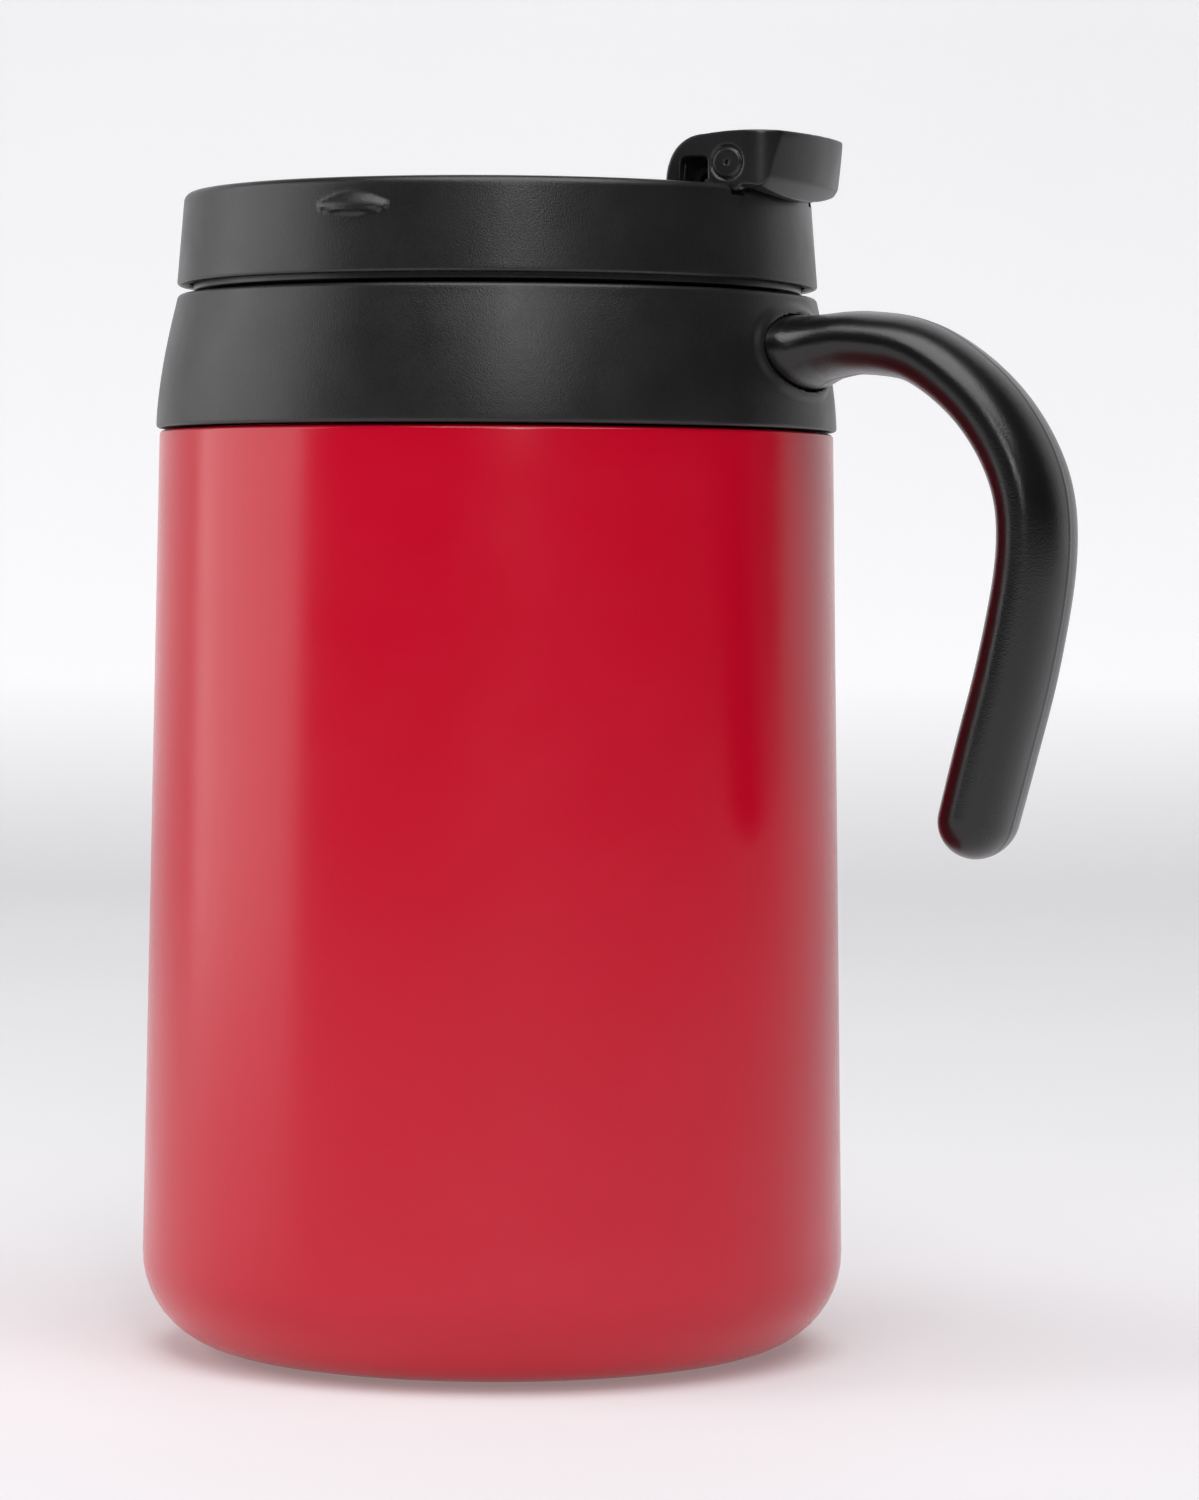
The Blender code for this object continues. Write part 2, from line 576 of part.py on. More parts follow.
def build_flip_cap():
    """Hollow cap: top, ears that straddle the spout, thumb lip over the rim and hinge barrel."""
    inner_end = HINGE_X - CAP_END_RADIUS
    shell = [*cap_line(0), (45.0, CAP_LIP_FOOT_Z), (40.7, CAP_LIP_FOOT_Z), (40.7, CAP_EAR_FOOT_Z),
             (CAP_EAR_START_X + 0.8, CAP_EAR_FOOT_Z), (CAP_EAR_START_X, CAP_EAR_FOOT_Z + 0.9), (CAP_EAR_START_X, HINGE_Z)]
    cap = add_piece("flip_cap", side_prism(shell, CAP_HALF_WIDTH), BLACK_PLASTIC)
    lip = [(0, 140), (CAP_LIP_FOOT_RADIUS - 1.0, 140), (CAP_LIP_FOOT_RADIUS - 1.0, CAP_LIP_FOOT_Z),
           (CAP_LIP_FOOT_RADIUS, CAP_LIP_FOOT_Z + 1.8), (CAP_LIP_TOP_RADIUS, 154.0),
           (CAP_LIP_TOP_RADIUS - 0.6, 156), (0, 156)]
    combine(cap, 'INTERSECT', add_tool("lip_round", turned(lip, 80)))

    hollow_start = inner_end + CAP_WALL
    hollow = [*cap_line(CAP_WALL), (45.0, 140), (hollow_start, 140)]
    cavity = add_tool("cap_hollow", side_prism(hollow, CAP_HALF_WIDTH - CAP_WALL))
    inner = [(0, 139), (CAP_LIP_INNER_RADIUS - 0.9, 139), (CAP_LIP_INNER_RADIUS - 0.9, 148.5),
             (CAP_LIP_INNER_RADIUS, 151), (CAP_LIP_INNER_RADIUS, 157), (0, 157)]
    combine(cavity, 'INTERSECT', add_tool("lip_inside", turned(inner, 80)))
    combine(cap, 'DIFFERENCE', cavity)
    notch = side_prism([(31.3, 140), (CAP_EAR_START_X, 140), (CAP_EAR_START_X, 150.9), (31.3, 150.9)], 15)
    combine(cap, 'DIFFERENCE', add_tool("side_notch", notch))

    corner = CAP_HALF_WIDTH - 3.0
    line = [(15, 145), (15, 149.3), *arc(corner, 149.3, 3.0, 0, -90, 5), (corner, 145)]
    for side, tag in ((-1, "left"), (1, "right")):
        cutter = extruded([(41.0, side * y, z) for y, z in line], (5, 0, 0))
        combine(cap, 'DIFFERENCE', add_tool("lip_corner_" + tag, cutter))
        boss = rod(2.4, (38.5, side * (CAP_HALF_WIDTH - 0.6) - 0.45, 150.5), 'Y', 0.9)
        combine(cap, 'UNION', add_tool("ear_boss_" + tag, boss))
    barrel = rod(1.75, (HINGE_X, -6.6, HINGE_Z), 'Y', 13.2)
    combine(cap, 'UNION', add_tool("hinge_barrel", barrel))
    web = block((HINGE_X - 1.2, -6.6, HINGE_Z + 1.0), (HINGE_X + 1.2, 6.6, cap_top(HINGE_X) - 0.8))
    combine(cap, 'UNION', add_tool("barrel_web", web))
    bore = rod(PIN_BORE, (HINGE_X, -8, HINGE_Z), 'Y', 16)
    combine(cap, 'DIFFERENCE', add_tool("barrel_bore", bore))
    add_piece("hinge_pin", rod(PIN_RADIUS, (HINGE_X, -9.3, HINGE_Z), 'Y', 18.6), STEEL)

    pad = add_piece("sip_stopper", block((36.1, -6.4, LID_TOP_Z + GAP), (39.9, 6.4, 151.3)), SILICONE)
    nub_line = [(36.7, 149), (36.8, 146.4), (38.0, 146.4), (38.3, 149)]
    combine(pad, 'UNION', add_tool("stopper_nub", side_prism(nub_line, SIP_HALF_LENGTH - 0.4)))


def main():
    for old in list(bpy.data.objects):
        bpy.data.objects.remove(old)
    build_outer_shell()
    build_inner_liner()
    build_base()
    build_vacuum_parts()
    build_collar()
    build_handle()
    build_lid_shell()
    build_vent_plug()
    build_lid_plug()
    build_flip_cap()


main()
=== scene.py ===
# Looks of an insulated travel mug: satin red steel body, moulded black collar with an open J
# handle, and a black screw lid with a flip cap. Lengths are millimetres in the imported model's
# frame: the origin is under the base pad on the cup's axis, +Z is up and +X is the handle side.

import math

import bmesh
import bpy
import numpy as np
from mathutils import Matrix, Vector


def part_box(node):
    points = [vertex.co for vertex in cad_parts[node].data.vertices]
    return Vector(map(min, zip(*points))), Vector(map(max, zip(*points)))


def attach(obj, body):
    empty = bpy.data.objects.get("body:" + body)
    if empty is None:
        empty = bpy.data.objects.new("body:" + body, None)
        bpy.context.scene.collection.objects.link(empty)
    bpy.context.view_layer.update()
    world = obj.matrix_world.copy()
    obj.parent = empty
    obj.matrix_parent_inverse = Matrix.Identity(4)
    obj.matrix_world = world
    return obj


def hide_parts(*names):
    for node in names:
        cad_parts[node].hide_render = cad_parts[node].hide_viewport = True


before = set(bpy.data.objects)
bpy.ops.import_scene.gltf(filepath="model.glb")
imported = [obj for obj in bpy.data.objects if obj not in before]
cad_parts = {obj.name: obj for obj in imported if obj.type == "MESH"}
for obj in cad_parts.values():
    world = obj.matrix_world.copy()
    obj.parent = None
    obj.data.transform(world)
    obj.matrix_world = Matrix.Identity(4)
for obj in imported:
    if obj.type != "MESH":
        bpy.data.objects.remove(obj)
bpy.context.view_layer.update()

MM = 0.001                     # metres in a millimetre


# ---------------------------------------------------------------- camera

CAMERA_AZIMUTH = 26.0          # degrees round from -Y toward +X
CAMERA_DISTANCE = 669.0
CAMERA_HEIGHT = 101.5
CAMERA_DOWN = 2.10             # degrees, as are the next two
CAMERA_RIGHT = 1.15
CAMERA_ROLL = 0.346
CAMERA_LENS = 124.8            # focal length in millimetres
CAMERA_CLIP_END = 20           # metres, past the far end of the sweep


def add_camera():
    """A long lens a little below the lid, aimed slightly down and to the right of the axis."""
    down, right_turn = math.radians(CAMERA_DOWN), math.radians(CAMERA_RIGHT)
    roll = math.radians(CAMERA_ROLL)
    around = Matrix.Rotation(math.radians(CAMERA_AZIMUTH), 3, 'Z')
    ahead = around @ Vector((math.sin(right_turn) * math.cos(down),
                             math.cos(right_turn) * math.cos(down), -math.sin(down)))
    right = around @ Vector((math.cos(right_turn), -math.sin(right_turn), 0))
    up = right.cross(ahead)
    right, up = (right * math.cos(roll) + up * math.sin(roll),
                 up * math.cos(roll) - right * math.sin(roll))
    data = bpy.data.cameras.new("camera")
    data.lens = CAMERA_LENS
    data.clip_end = CAMERA_CLIP_END
    camera = bpy.data.objects.new("camera", data)
    bpy.context.scene.collection.objects.link(camera)
    pose = Matrix((right, up, -ahead)).transposed().to_4x4()
    pose.translation = around @ Vector((0, -CAMERA_DISTANCE, CAMERA_HEIGHT)) * MM
    camera.matrix_world = pose
    bpy.context.scene.camera = camera


add_camera()


# ---------------------------------------------------------------- outlines

def arc(centre_a, centre_b, radius, start_deg, end_deg, steps):
    """Points on an arc, both ends included."""
    angles = np.radians(np.linspace(start_deg, end_deg, steps + 1))
    return [(centre_a + radius * math.cos(t), centre_b + radius * math.sin(t)) for t in angles]


def rounded(corners, steps=6):
    """Closed outline from corners (a, b) or (a, b, radius), each radius turned into an arc."""
    outline = []
    for index, corner in enumerate(corners):
        here = np.array(corner[:2], float)
        radius = corner[2] if len(corner) > 2 else 0
        if radius == 0:
            outline.append(tuple(here))
            continue
        back = np.array(corners[index - 1][:2]) - here
        ahead = np.array(corners[(index + 1) % len(corners)][:2]) - here
        back /= np.linalg.norm(back)
        ahead /= np.linalg.norm(ahead)
        half = math.acos(np.clip(back @ ahead, -1, 1)) / 2
        start = here + back * radius / math.tan(half)
        end = here + ahead * radius / math.tan(half)
        centre = here + (back + ahead) / np.linalg.norm(back + ahead) * radius / math.sin(half)
        sweep = math.pi - 2 * half
        for share in np.linspace(0, 1, steps + 1):
            from_start = math.sin((1 - share) * sweep) / math.sin(sweep)
            from_end = math.sin(share * sweep) / math.sin(sweep)
            outline.append(tuple(centre + (start - centre) * from_start + (end - centre) * from_end))
    return outline


def refined(outline, longest):
    """The outline with its long stretches cut up, except those that run out from the axis."""
    closed = outline[0][0] > 0
    following = outline[1:] + outline[:1] if closed else outline[1:]
    fine = []
    for start, end in zip(outline, following):
        parts = max(1, math.ceil(math.dist(start, end) / longest)) if min(start[0], end[0]) > 0 else 1
        for part in range(parts):
            share = part / parts
            fine.append((start[0] + (end[0] - start[0]) * share, start[1] + (end[1] - start[1]) * share))
    return fine if closed else fine + outline[-1:]


def ramp(low, high, value):
    """Smooth step from 0 at low to 1 at high."""
    share = np.clip((value - low) / (high - low), 0, 1)
    return share * share * (3 - 2 * share)


# ---------------------------------------------------------------- meshes

SHARP_ANGLE = 45               # edges that turn by more than this many degrees stay crisp
VOXEL = 0.14


def box_mm(node):
    """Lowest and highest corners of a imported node, in millimetres."""
    low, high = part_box(node)
    return Vector(low) / MM, Vector(high) / MM


def shade(mesh):
    """Shade a mesh smooth, apart from its crisp edges."""
    mesh.shade_smooth()
    mesh.set_sharp_from_angle(angle=math.radians(SHARP_ANGLE))


def mesh_object(name, points, faces):
    """A shaded mesh object from points in millimetres, its faces turned outward."""
    mesh = bpy.data.meshes.new(name)
    mesh.from_pydata((np.asarray(points) * MM).tolist(), [], faces)
    mesh.update()
    bm = bmesh.new()
    bm.from_mesh(mesh)
    bmesh.ops.recalc_face_normals(bm, faces=bm.faces)
    bm.to_mesh(mesh)
    bm.free()
    shade(mesh)
    piece = bpy.data.objects.new(name, mesh)
    bpy.context.scene.collection.objects.link(piece)
    return piece


def ring_faces(rings, sides, closed):
    """Quads between successive rings of vertices numbered ring by ring."""
    faces = []
    for ring in range(rings if closed else rings - 1):
        base, following = ring * sides, ((ring + 1) % rings) * sides
        for side in range(sides):
            after = (side + 1) % sides
            faces.append((base + side, base + after, following + after, following + side))
    return faces


def turned(name, outline, angles=None, warp=None):
    """Turn a (radius, z) outline about Z. It is a closed loop, or starts and ends on the axis.
    warp(radius, angle, z) returns moved radii for all points at once."""
    angles = even_angles(160) if angles is None else angles
    capped = outline[0][0] < 1e-6
    rings = outline[1:-1] if capped else outline
    radius = np.repeat([[point[0]] for point in rings], len(angles), axis=1)
    z = np.repeat([[point[1]] for point in rings], len(angles), axis=1)
    angle = np.repeat([angles], len(rings), axis=0)
    if warp:
        radius = warp(radius, angle, z)
    points = np.stack([radius * np.cos(angle), radius * np.sin(angle), z], axis=-1).reshape(-1, 3)
    faces = ring_faces(len(rings), len(angles), not capped)
    if capped:
        sides = len(angles)
        poles = [(0, 0, outline[0][1]), (0, 0, outline[-1][1])]
        points = np.vstack([points, poles])
        last = (len(rings) - 1) * sides
        for side in range(sides):
            after = (side + 1) % sides
            faces.append((side, after, len(points) - 2))
            faces.append((last + after, last + side, len(points) - 1))
    return mesh_object(name, points, faces)


def even_angles(count):
    return np.linspace(0, 2 * math.pi, count, endpoint=False)


def angles_denser_near_x(coarse, fine, half_width):
    """Angles round the axis, many of them within half_width radians of the +X side."""
    near = np.linspace(-half_width, half_width, fine, endpoint=False)
    far = np.linspace(half_width, 2 * math.pi - half_width, coarse, endpoint=False)
    return np.concatenate([near, far])


def prism(name, outline, axis, low, high):
    """A solid with a flat outline, pushed along X, Y or Z between two stations."""
    count = len(outline)
    points = []
    for station in (low, high):
        for a, b in outline:
            points.append({'X': (station, a, b), 'Y': (a, station, b), 'Z': (a, b, station)}[axis])
    faces = [tuple(range(count)), tuple(range(2 * count - 1, count - 1, -1))]
    for side in range(count):
        after = (side + 1) % count
        faces.append((side, after, count + after, count + side))
    return mesh_object(name, points, faces)


def rectangle(low_a, high_a, low_b, high_b, radius=0.0):
    """Outline of a rectangle with rounded corners."""
    return rounded([(low_a, low_b, radius), (high_a, low_b, radius),
                    (high_a, high_b, radius), (low_a, high_b, radius)])


def bar(name, radius, centre, axis, low, high, sides=48):
    """A round bar along X, Y or Z with its centre at a point of the other two axes."""
    outline = arc(centre[0], centre[1], radius, 0, 360 * (1 - 1 / sides), sides - 1)
    return prism(name, outline, axis, low, high)


def settle(piece):
    """Apply a piece's modifiers to its mesh."""
    shape = piece.evaluated_get(bpy.context.evaluated_depsgraph_get())
    mesh = bpy.data.meshes.new_from_object(shape)
    piece.modifiers.clear()
    piece.data = mesh


def combine(piece, operation, tools):
    """Boolean tools into a piece and delete them."""
    for tool in tools:
        step = piece.modifiers.new("step", 'BOOLEAN')
        step.operation = operation
        step.solver = 'MANIFOLD'
        step.object = tool
        settle(piece)
        bpy.data.objects.remove(tool)


def moulded(piece, passes):
    """Remesh a piece finely and relax it, which rounds its edges as a mould does."""
    remesh = piece.modifiers.new("remesh", 'REMESH')
    remesh.mode = 'VOXEL'
    remesh.voxel_size = VOXEL * MM
    relax = piece.modifiers.new("relax", 'SMOOTH')
    relax.factor = 0.5
    relax.iterations = passes
    settle(piece)


def place(piece, body, nodes, look):
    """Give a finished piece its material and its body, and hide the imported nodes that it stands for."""
    piece.data.materials.clear()
    piece.data.materials.append(look)
    shade(piece.data)
    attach(piece, body)
    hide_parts(*nodes)


# ---------------------------------------------------------------- materials

class Look:
    """A Principled material that is built up from noise in the piece's own coordinates."""

    def __init__(self, name, colour, roughness, metallic=0.0):
        self.material = bpy.data.materials.new(name)
        self.material.use_nodes = True
        self.tree = self.material.node_tree
        self.shader = self.tree.nodes["Principled BSDF"]
        self.shader.inputs["Base Color"].default_value = (*colour, 1)
        self.shader.inputs["Roughness"].default_value = roughness
        self.shader.inputs["Metallic"].default_value = metallic
        self.colour = colour
        self.normal = None
        self.coords = self.node("ShaderNodeTexCoord").outputs["Object"]

    def node(self, kind, **settings):
        made = self.tree.nodes.new(kind)
        for key, value in settings.items():
            setattr(made, key, value)
        return made

    def join(self, source, target):
        self.tree.links.new(source, target)

    def noise(self, size, detail=2.0, stretch=(1, 1, 1)):
        """Noise whose blotches are about size millimetres across, drawn out by stretch."""
        mapping = self.node("ShaderNodeMapping")
        mapping.inputs["Scale"].default_value = [1 / (size * MM * s) for s in stretch]
        self.join(self.coords, mapping.inputs["Vector"])
        texture = self.node("ShaderNodeTexNoise")
        texture.inputs["Scale"].default_value = 1.0
        texture.inputs["Detail"].default_value = detail
        self.join(mapping.outputs["Vector"], texture.inputs["Vector"])
        return texture.outputs["Fac"]

    def ranged(self, value, low, high, to_low, to_high):
        """Map a value from one range to another, held at its ends."""
        made = self.node("ShaderNodeMapRange")
        for key, number in zip(("From Min", "From Max", "To Min", "To Max"), (low, high, to_low, to_high)):
            made.inputs[key].default_value = number
        self.join(value, made.inputs["Value"])
        return made.outputs["Result"]

    def bump(self, height, depth):
        """Add relief: height 0 to 1 stands for depth millimetres."""
        made = self.node("ShaderNodeBump")
        made.inputs["Strength"].default_value = 1.0
        made.inputs["Distance"].default_value = depth * MM
        self.join(height, made.inputs["Height"])
        if self.normal:
            self.join(self.normal, made.inputs["Normal"])
        self.normal = made.outputs["Normal"]
        self.join(self.normal, self.shader.inputs["Normal"])

    def vary_roughness(self, value, low, high):
        """Let the roughness wander between low and high with a noise value."""
        self.join(self.ranged(value, 0.3, 0.7, low, high), self.shader.inputs["Roughness"])

    def blend_colour(self, value, first, second, low=0.3, high=0.7):
        """Blend two colours by a value; a later call blends over the earlier one."""
        mix = self.node("ShaderNodeMix", data_type='RGBA')
        self.join(self.ranged(value, low, high, 0, 1), mix.inputs["Factor"])
        before = self.shader.inputs["Base Color"].links
        if before:
            self.join(before[0].from_socket, mix.inputs["A"])
        else:
            mix.inputs["A"].default_value = (*first, 1)
        mix.inputs["B"].default_value = (*second, 1)
        self.join(mix.outputs["Result"], self.shader.inputs["Base Color"])

    def specks(self, spacing, size, colour, share):
        """Sparse pale dust: small dots in a share of the cells of a coarse pattern."""
        mapping = self.node("ShaderNodeMapping")
        mapping.inputs["Scale"].default_value = [1 / (spacing * MM)] * 3
        self.join(self.coords, mapping.inputs["Vector"])
        cells = self.node("ShaderNodeTexVoronoi")
        cells.inputs["Scale"].default_value = 1.0
        self.join(mapping.outputs["Vector"], cells.inputs["Vector"])
        dot = self.ranged(cells.outputs["Distance"], size / spacing * 0.5, size / spacing, 1, 0)
        split = self.node("ShaderNodeSeparateColor")
        self.join(cells.outputs["Color"], split.inputs["Color"])
        kept = self.node("ShaderNodeMath", operation='LESS_THAN')
        kept.inputs[1].default_value = share
        self.join(split.outputs["Red"], kept.inputs[0])
        both = self.node("ShaderNodeMath", operation='MULTIPLY')
        self.join(dot, both.inputs[0])
        self.join(kept.outputs["Value"], both.inputs[1])
        self.blend_colour(both.outputs["Value"], self.colour, colour, 0, 1)


def red_paint():
    look = Look("red_satin_paint", (0.57, 0.0006, 0.0195), 0.22)
    look.blend_colour(look.noise(26, 3), (0.56, 0.0005, 0.018), (0.58, 0.0008, 0.021))
    look.vary_roughness(look.noise(9, 3), 0.20, 0.24)
    look.bump(look.noise(0.9, 2), 0.005)
    look.bump(look.noise(0.16, 1), 0.002)
    look.specks(16, 0.16, (0.75, 0.45, 0.42), 0.10)
    return look.material


def black_plastic(name, grain=0.2, depth=0.03, roughness=(0.32, 0.40), colour=(0.0075, 0.0075, 0.0082)):
    look = Look(name, colour, roughness[0])
    paler = tuple(1.5 * value for value in colour)
    look.blend_colour(look.noise(0.35, 3), colour, paler)
    look.vary_roughness(look.noise(6, 4), *roughness)
    look.bump(look.noise(grain, 2), depth)
    look.bump(look.noise(1.6, 2), depth * 0.35)
    look.specks(9, 0.13, (0.30, 0.29, 0.28), 0.16)
    return look.material


def brushed_steel(name, colour=(0.60, 0.585, 0.57), roughness=(0.24, 0.36)):
    look = Look(name, colour, roughness[0], 1.0)
    rings = look.noise(0.12, 3, stretch=(60, 60, 1))
    look.vary_roughness(rings, *roughness)
    look.bump(rings, 0.004)
    look.blend_colour(look.noise(20, 3), colour, tuple(0.92 * value for value in colour))
    return look.material


def plain_metal(name, colour, roughness=(0.28, 0.4)):
    look = Look(name, colour, roughness[0], 1.0)
    look.vary_roughness(look.noise(1.2, 4), *roughness)
    look.bump(look.noise(0.5, 3), 0.008)
    look.blend_colour(look.noise(4, 3), colour, tuple(0.85 * value for value in colour))
    return look.material


def grey_silicone():
    colour = (0.46, 0.47, 0.48)
    look = Look("grey_silicone", colour, 0.5)
    look.shader.inputs["Subsurface Weight"].default_value = 0.25
    look.shader.inputs["Subsurface Radius"].default_value = (0.002, 0.002, 0.002)
    look.shader.inputs["Subsurface Scale"].default_value = 0.5
    look.blend_colour(look.noise(5, 2), colour, tuple(0.9 * value for value in colour))
    look.vary_roughness(look.noise(1.5, 3), 0.45, 0.6)
    look.bump(look.noise(0.25, 2), 0.008)
    return look.material


def pad_rubber():
    look = Look("base_pad_rubber", (0.018, 0.018, 0.019), 0.75)
    look.blend_colour(look.noise(0.8, 3), (0.016, 0.016, 0.017), (0.03, 0.03, 0.03))
    look.vary_roughness(look.noise(3, 3), 0.68, 0.82)
    look.bump(look.noise(0.22, 2), 0.03)
    return look.material


PAINT = red_paint()
COLLAR_PLASTIC = black_plastic("collar_plastic")
LID_PLASTIC = black_plastic("lid_plastic", roughness=(0.30, 0.38))
CAP_PLASTIC = black_plastic("cap_plastic", depth=0.012, roughness=(0.28, 0.36))
HANDLE_PLASTIC = black_plastic("handle_plastic", 0.24, 0.035, (0.22, 0.28), (0.005, 0.005, 0.0055))
PLUG_PLASTIC = black_plastic("plug_plastic", depth=0.006, roughness=(0.3, 0.38))
LINER_STEEL = brushed_steel("liner_steel")
BASE_STEEL = brushed_steel("base_steel", roughness=(0.3, 0.42))
PIN_STEEL = plain_metal("pin_steel", (0.55, 0.55, 0.55))
SILICONE = grey_silicone()
PAD_RUBBER = pad_rubber()


# ---------------------------------------------------------------- vessel

GAP = 0.3                      # clearance between parts that only face each other
WALL = 0.6                     # sheet thickness of shell and liner
shell_low, shell_high = box_mm("outer_shell")
liner_low, liner_high = box_mm("inner_liner")
collar_low, collar_high = box_mm("collar")
lid_low, _ = box_mm("lid_shell")
plug_low, plug_high = box_mm("lid_plug")
seal_low, seal_high = box_mm("lid_seal")
gasket_low, gasket_high = box_mm("plug_gasket")
_, pad_high = box_mm("base_pad")
disc_low, disc_high = box_mm("base_disc")
neck_gasket_low, neck_gasket_high = box_mm("collar_gasket")
pin_low, pin_high = box_mm("hinge_pin")
vent_low, vent_high = box_mm("vent_plug")
stopper_low, stopper_high = box_mm("sip_stopper")

BODY_RADIUS = shell_high.x
BASE_CORNER = 12.0
TAPER = 0.0176                 # fall of the body's radius for each millimetre of height
BODY_TOP_Z = collar_low.z - GAP
NECK_RADIUS = neck_gasket_high.x
VACUUM_GAP = 2.0
LINER_CORNER = 13.0
LINER_SHOULDER_Z = 111.5
LINER_NECK_Z = 116.3
DIMPLE_FLOOR_RADIUS = 4.6
DIMPLE_MOUTH_RADIUS = 6.0
PAD_HOLLOW = (20.3, 0.12)      # radius and depth of the shallow middle of the pad
PAD_GROOVE = (27.6, 28.9, 0.22)    # inner and outer radius and depth of the ring in it


def body_radius(z):
    """Outer radius of the painted cone at a height."""
    return BODY_RADIUS - TAPER * (z - shell_low.z - BASE_CORNER)


def build_painted_shell():
    base = shell_low.z
    foot = body_radius(base)
    top = body_radius(BODY_TOP_Z)
    opening = pad_high.x + 0.4
    outline = rounded([
        (opening, base, 0.2), (foot, base, BASE_CORNER), (top, BODY_TOP_Z, 0.55),
        (NECK_RADIUS, BODY_TOP_Z, 0.25), (NECK_RADIUS, shell_high.z, 0.15),
        (NECK_RADIUS - WALL, shell_high.z, 0.15), (NECK_RADIUS - WALL, BODY_TOP_Z - WALL, 0.5),
        (top - WALL, BODY_TOP_Z - WALL, 0.5), (foot - WALL, base + WALL, BASE_CORNER - WALL),
        (opening, base + WALL, 0.2)], steps=12)
    shell = turned("painted_shell", refined(outline, 6), even_angles(256))
    place(shell, "vessel", ["outer_shell"], PAINT)


def build_liner():
    mouth = NECK_RADIUS - WALL - GAP - WALL
    lip_z = liner_high.z
    top = body_radius(LINER_SHOULDER_Z + 0.5) - WALL - VACUUM_GAP
    foot = liner_high.x
    base = liner_low.z
    outline = rounded([
        (0, base), (foot, base, LINER_CORNER), (top, LINER_SHOULDER_Z, 4.0),
        (mouth + WALL, LINER_NECK_Z, 2.0), (mouth + WALL, lip_z - WALL, 0.2),
        (NECK_RADIUS, lip_z - WALL, 0.2), (NECK_RADIUS, lip_z, 0.28), (mouth, lip_z, 0.5),
        (mouth, LINER_NECK_Z - 0.3, 2.0), (top - WALL, LINER_SHOULDER_Z - 0.3, 4.0),
        (foot - WALL, base + WALL, LINER_CORNER - WALL), (0, base + WALL)], steps=10)
    liner = turned("steel_liner", outline, even_angles(192))
    place(liner, "vessel", ["inner_liner"], LINER_STEEL)


def build_base():
    """Closing plate with its dimple, and the rubber pad with a shallow ring moulded in it."""
    plate, dimple, edge, slope = disc_low.z, disc_high.z - WALL, disc_high.x, 0.3
    outline = rounded([
        (0, dimple), (DIMPLE_FLOOR_RADIUS, dimple, 0.6), (DIMPLE_MOUTH_RADIUS, plate, 0.6),
        (edge, plate, 0.15), (edge, plate + WALL, 0.15),
        (DIMPLE_MOUTH_RADIUS + slope, plate + WALL, 0.6),
        (DIMPLE_FLOOR_RADIUS + slope, dimple + WALL, 0.6), (0, dimple + WALL)])
    base_plate = turned("base_plate", outline, even_angles(96))
    place(base_plate, "vessel", ["base_disc"], BASE_STEEL)
    radius, top, soft = pad_high.x, pad_high.z, 0.1
    hollow, dish = PAD_HOLLOW
    inner, outer, depth = PAD_GROOVE
    outline = rounded([
        (0, dish), (hollow - slope, dish, soft), (hollow, 0.0, soft),
        (inner, 0.0, soft), (inner + slope, depth, soft), (outer - slope, depth, soft), (outer, 0.0, soft),
        (radius, 0.0, 0.45), (radius, top, soft), (0, top)])
    base_pad = turned("rubber_base_pad", outline, even_angles(128))
    place(base_pad, "vessel", ["base_pad"], PAD_RUBBER)


# ---------------------------------------------------------------- collar

HANDLE_Z = 127.45              # middle of the handle's seat
SEAT_HALF_WIDTH = 10.3
SEAT_HALF_HEIGHT = 4.85
SEAT_LIP_WIDTH = 1.7
SEAT_LIP_PROUD = 0.55
SEAT_POCKET_DEPTH = 1.3
COLLAR_SKIN_RADIUS = 39.2      # only points outside this radius take the seat's shape
COLLAR_TOP_RADIUS = 40.8
COLLAR_CURVE = 1.6
COLLAR_BORE = 37.6
COLLAR_RIDGE_TIP = 36.4
THREAD_LEAD = 4.0
THREAD_TURNS = 1.1
THREAD_START_Z = 129.0
THREAD_FOOT_Z = 127.6          # the collar's bore is plain below this height


def collar_radius(z):
    """Outer radius of the collar, which draws in toward its top."""
    share = np.clip((z - collar_low.z) / (collar_high.z - collar_low.z), 0, 1)
    return -collar_low.x - (-collar_low.x - COLLAR_TOP_RADIUS) * share ** COLLAR_CURVE


def ridge_height(angle, z, start_z):
    """0 to 1 across a helical thread ridge that begins at angle 0 and height start_z."""
    turn = np.mod(angle, 2 * math.pi) / (2 * math.pi)
    winding = np.round((z - start_z) / THREAD_LEAD - turn)
    offset = np.abs(z - start_z - THREAD_LEAD * (turn + winding))
    along = turn + winding
    run_out = np.clip(np.minimum(along, THREAD_TURNS - along) / 0.07, 0, 1)
    return (1 - ramp(0.3, 0.7, offset)) * run_out


def seat_distance(y, z):
    """Distance outside the oval seat of the handle, negative inside it."""
    share = np.sqrt((y / SEAT_HALF_WIDTH) ** 2 + ((z - HANDLE_Z) / SEAT_HALF_HEIGHT) ** 2) + 1e-9
    slope = np.sqrt((y / SEAT_HALF_WIDTH ** 2) ** 2 + ((z - HANDLE_Z) / SEAT_HALF_HEIGHT ** 2) ** 2) + 1e-9
    return share * (share - 1) / slope


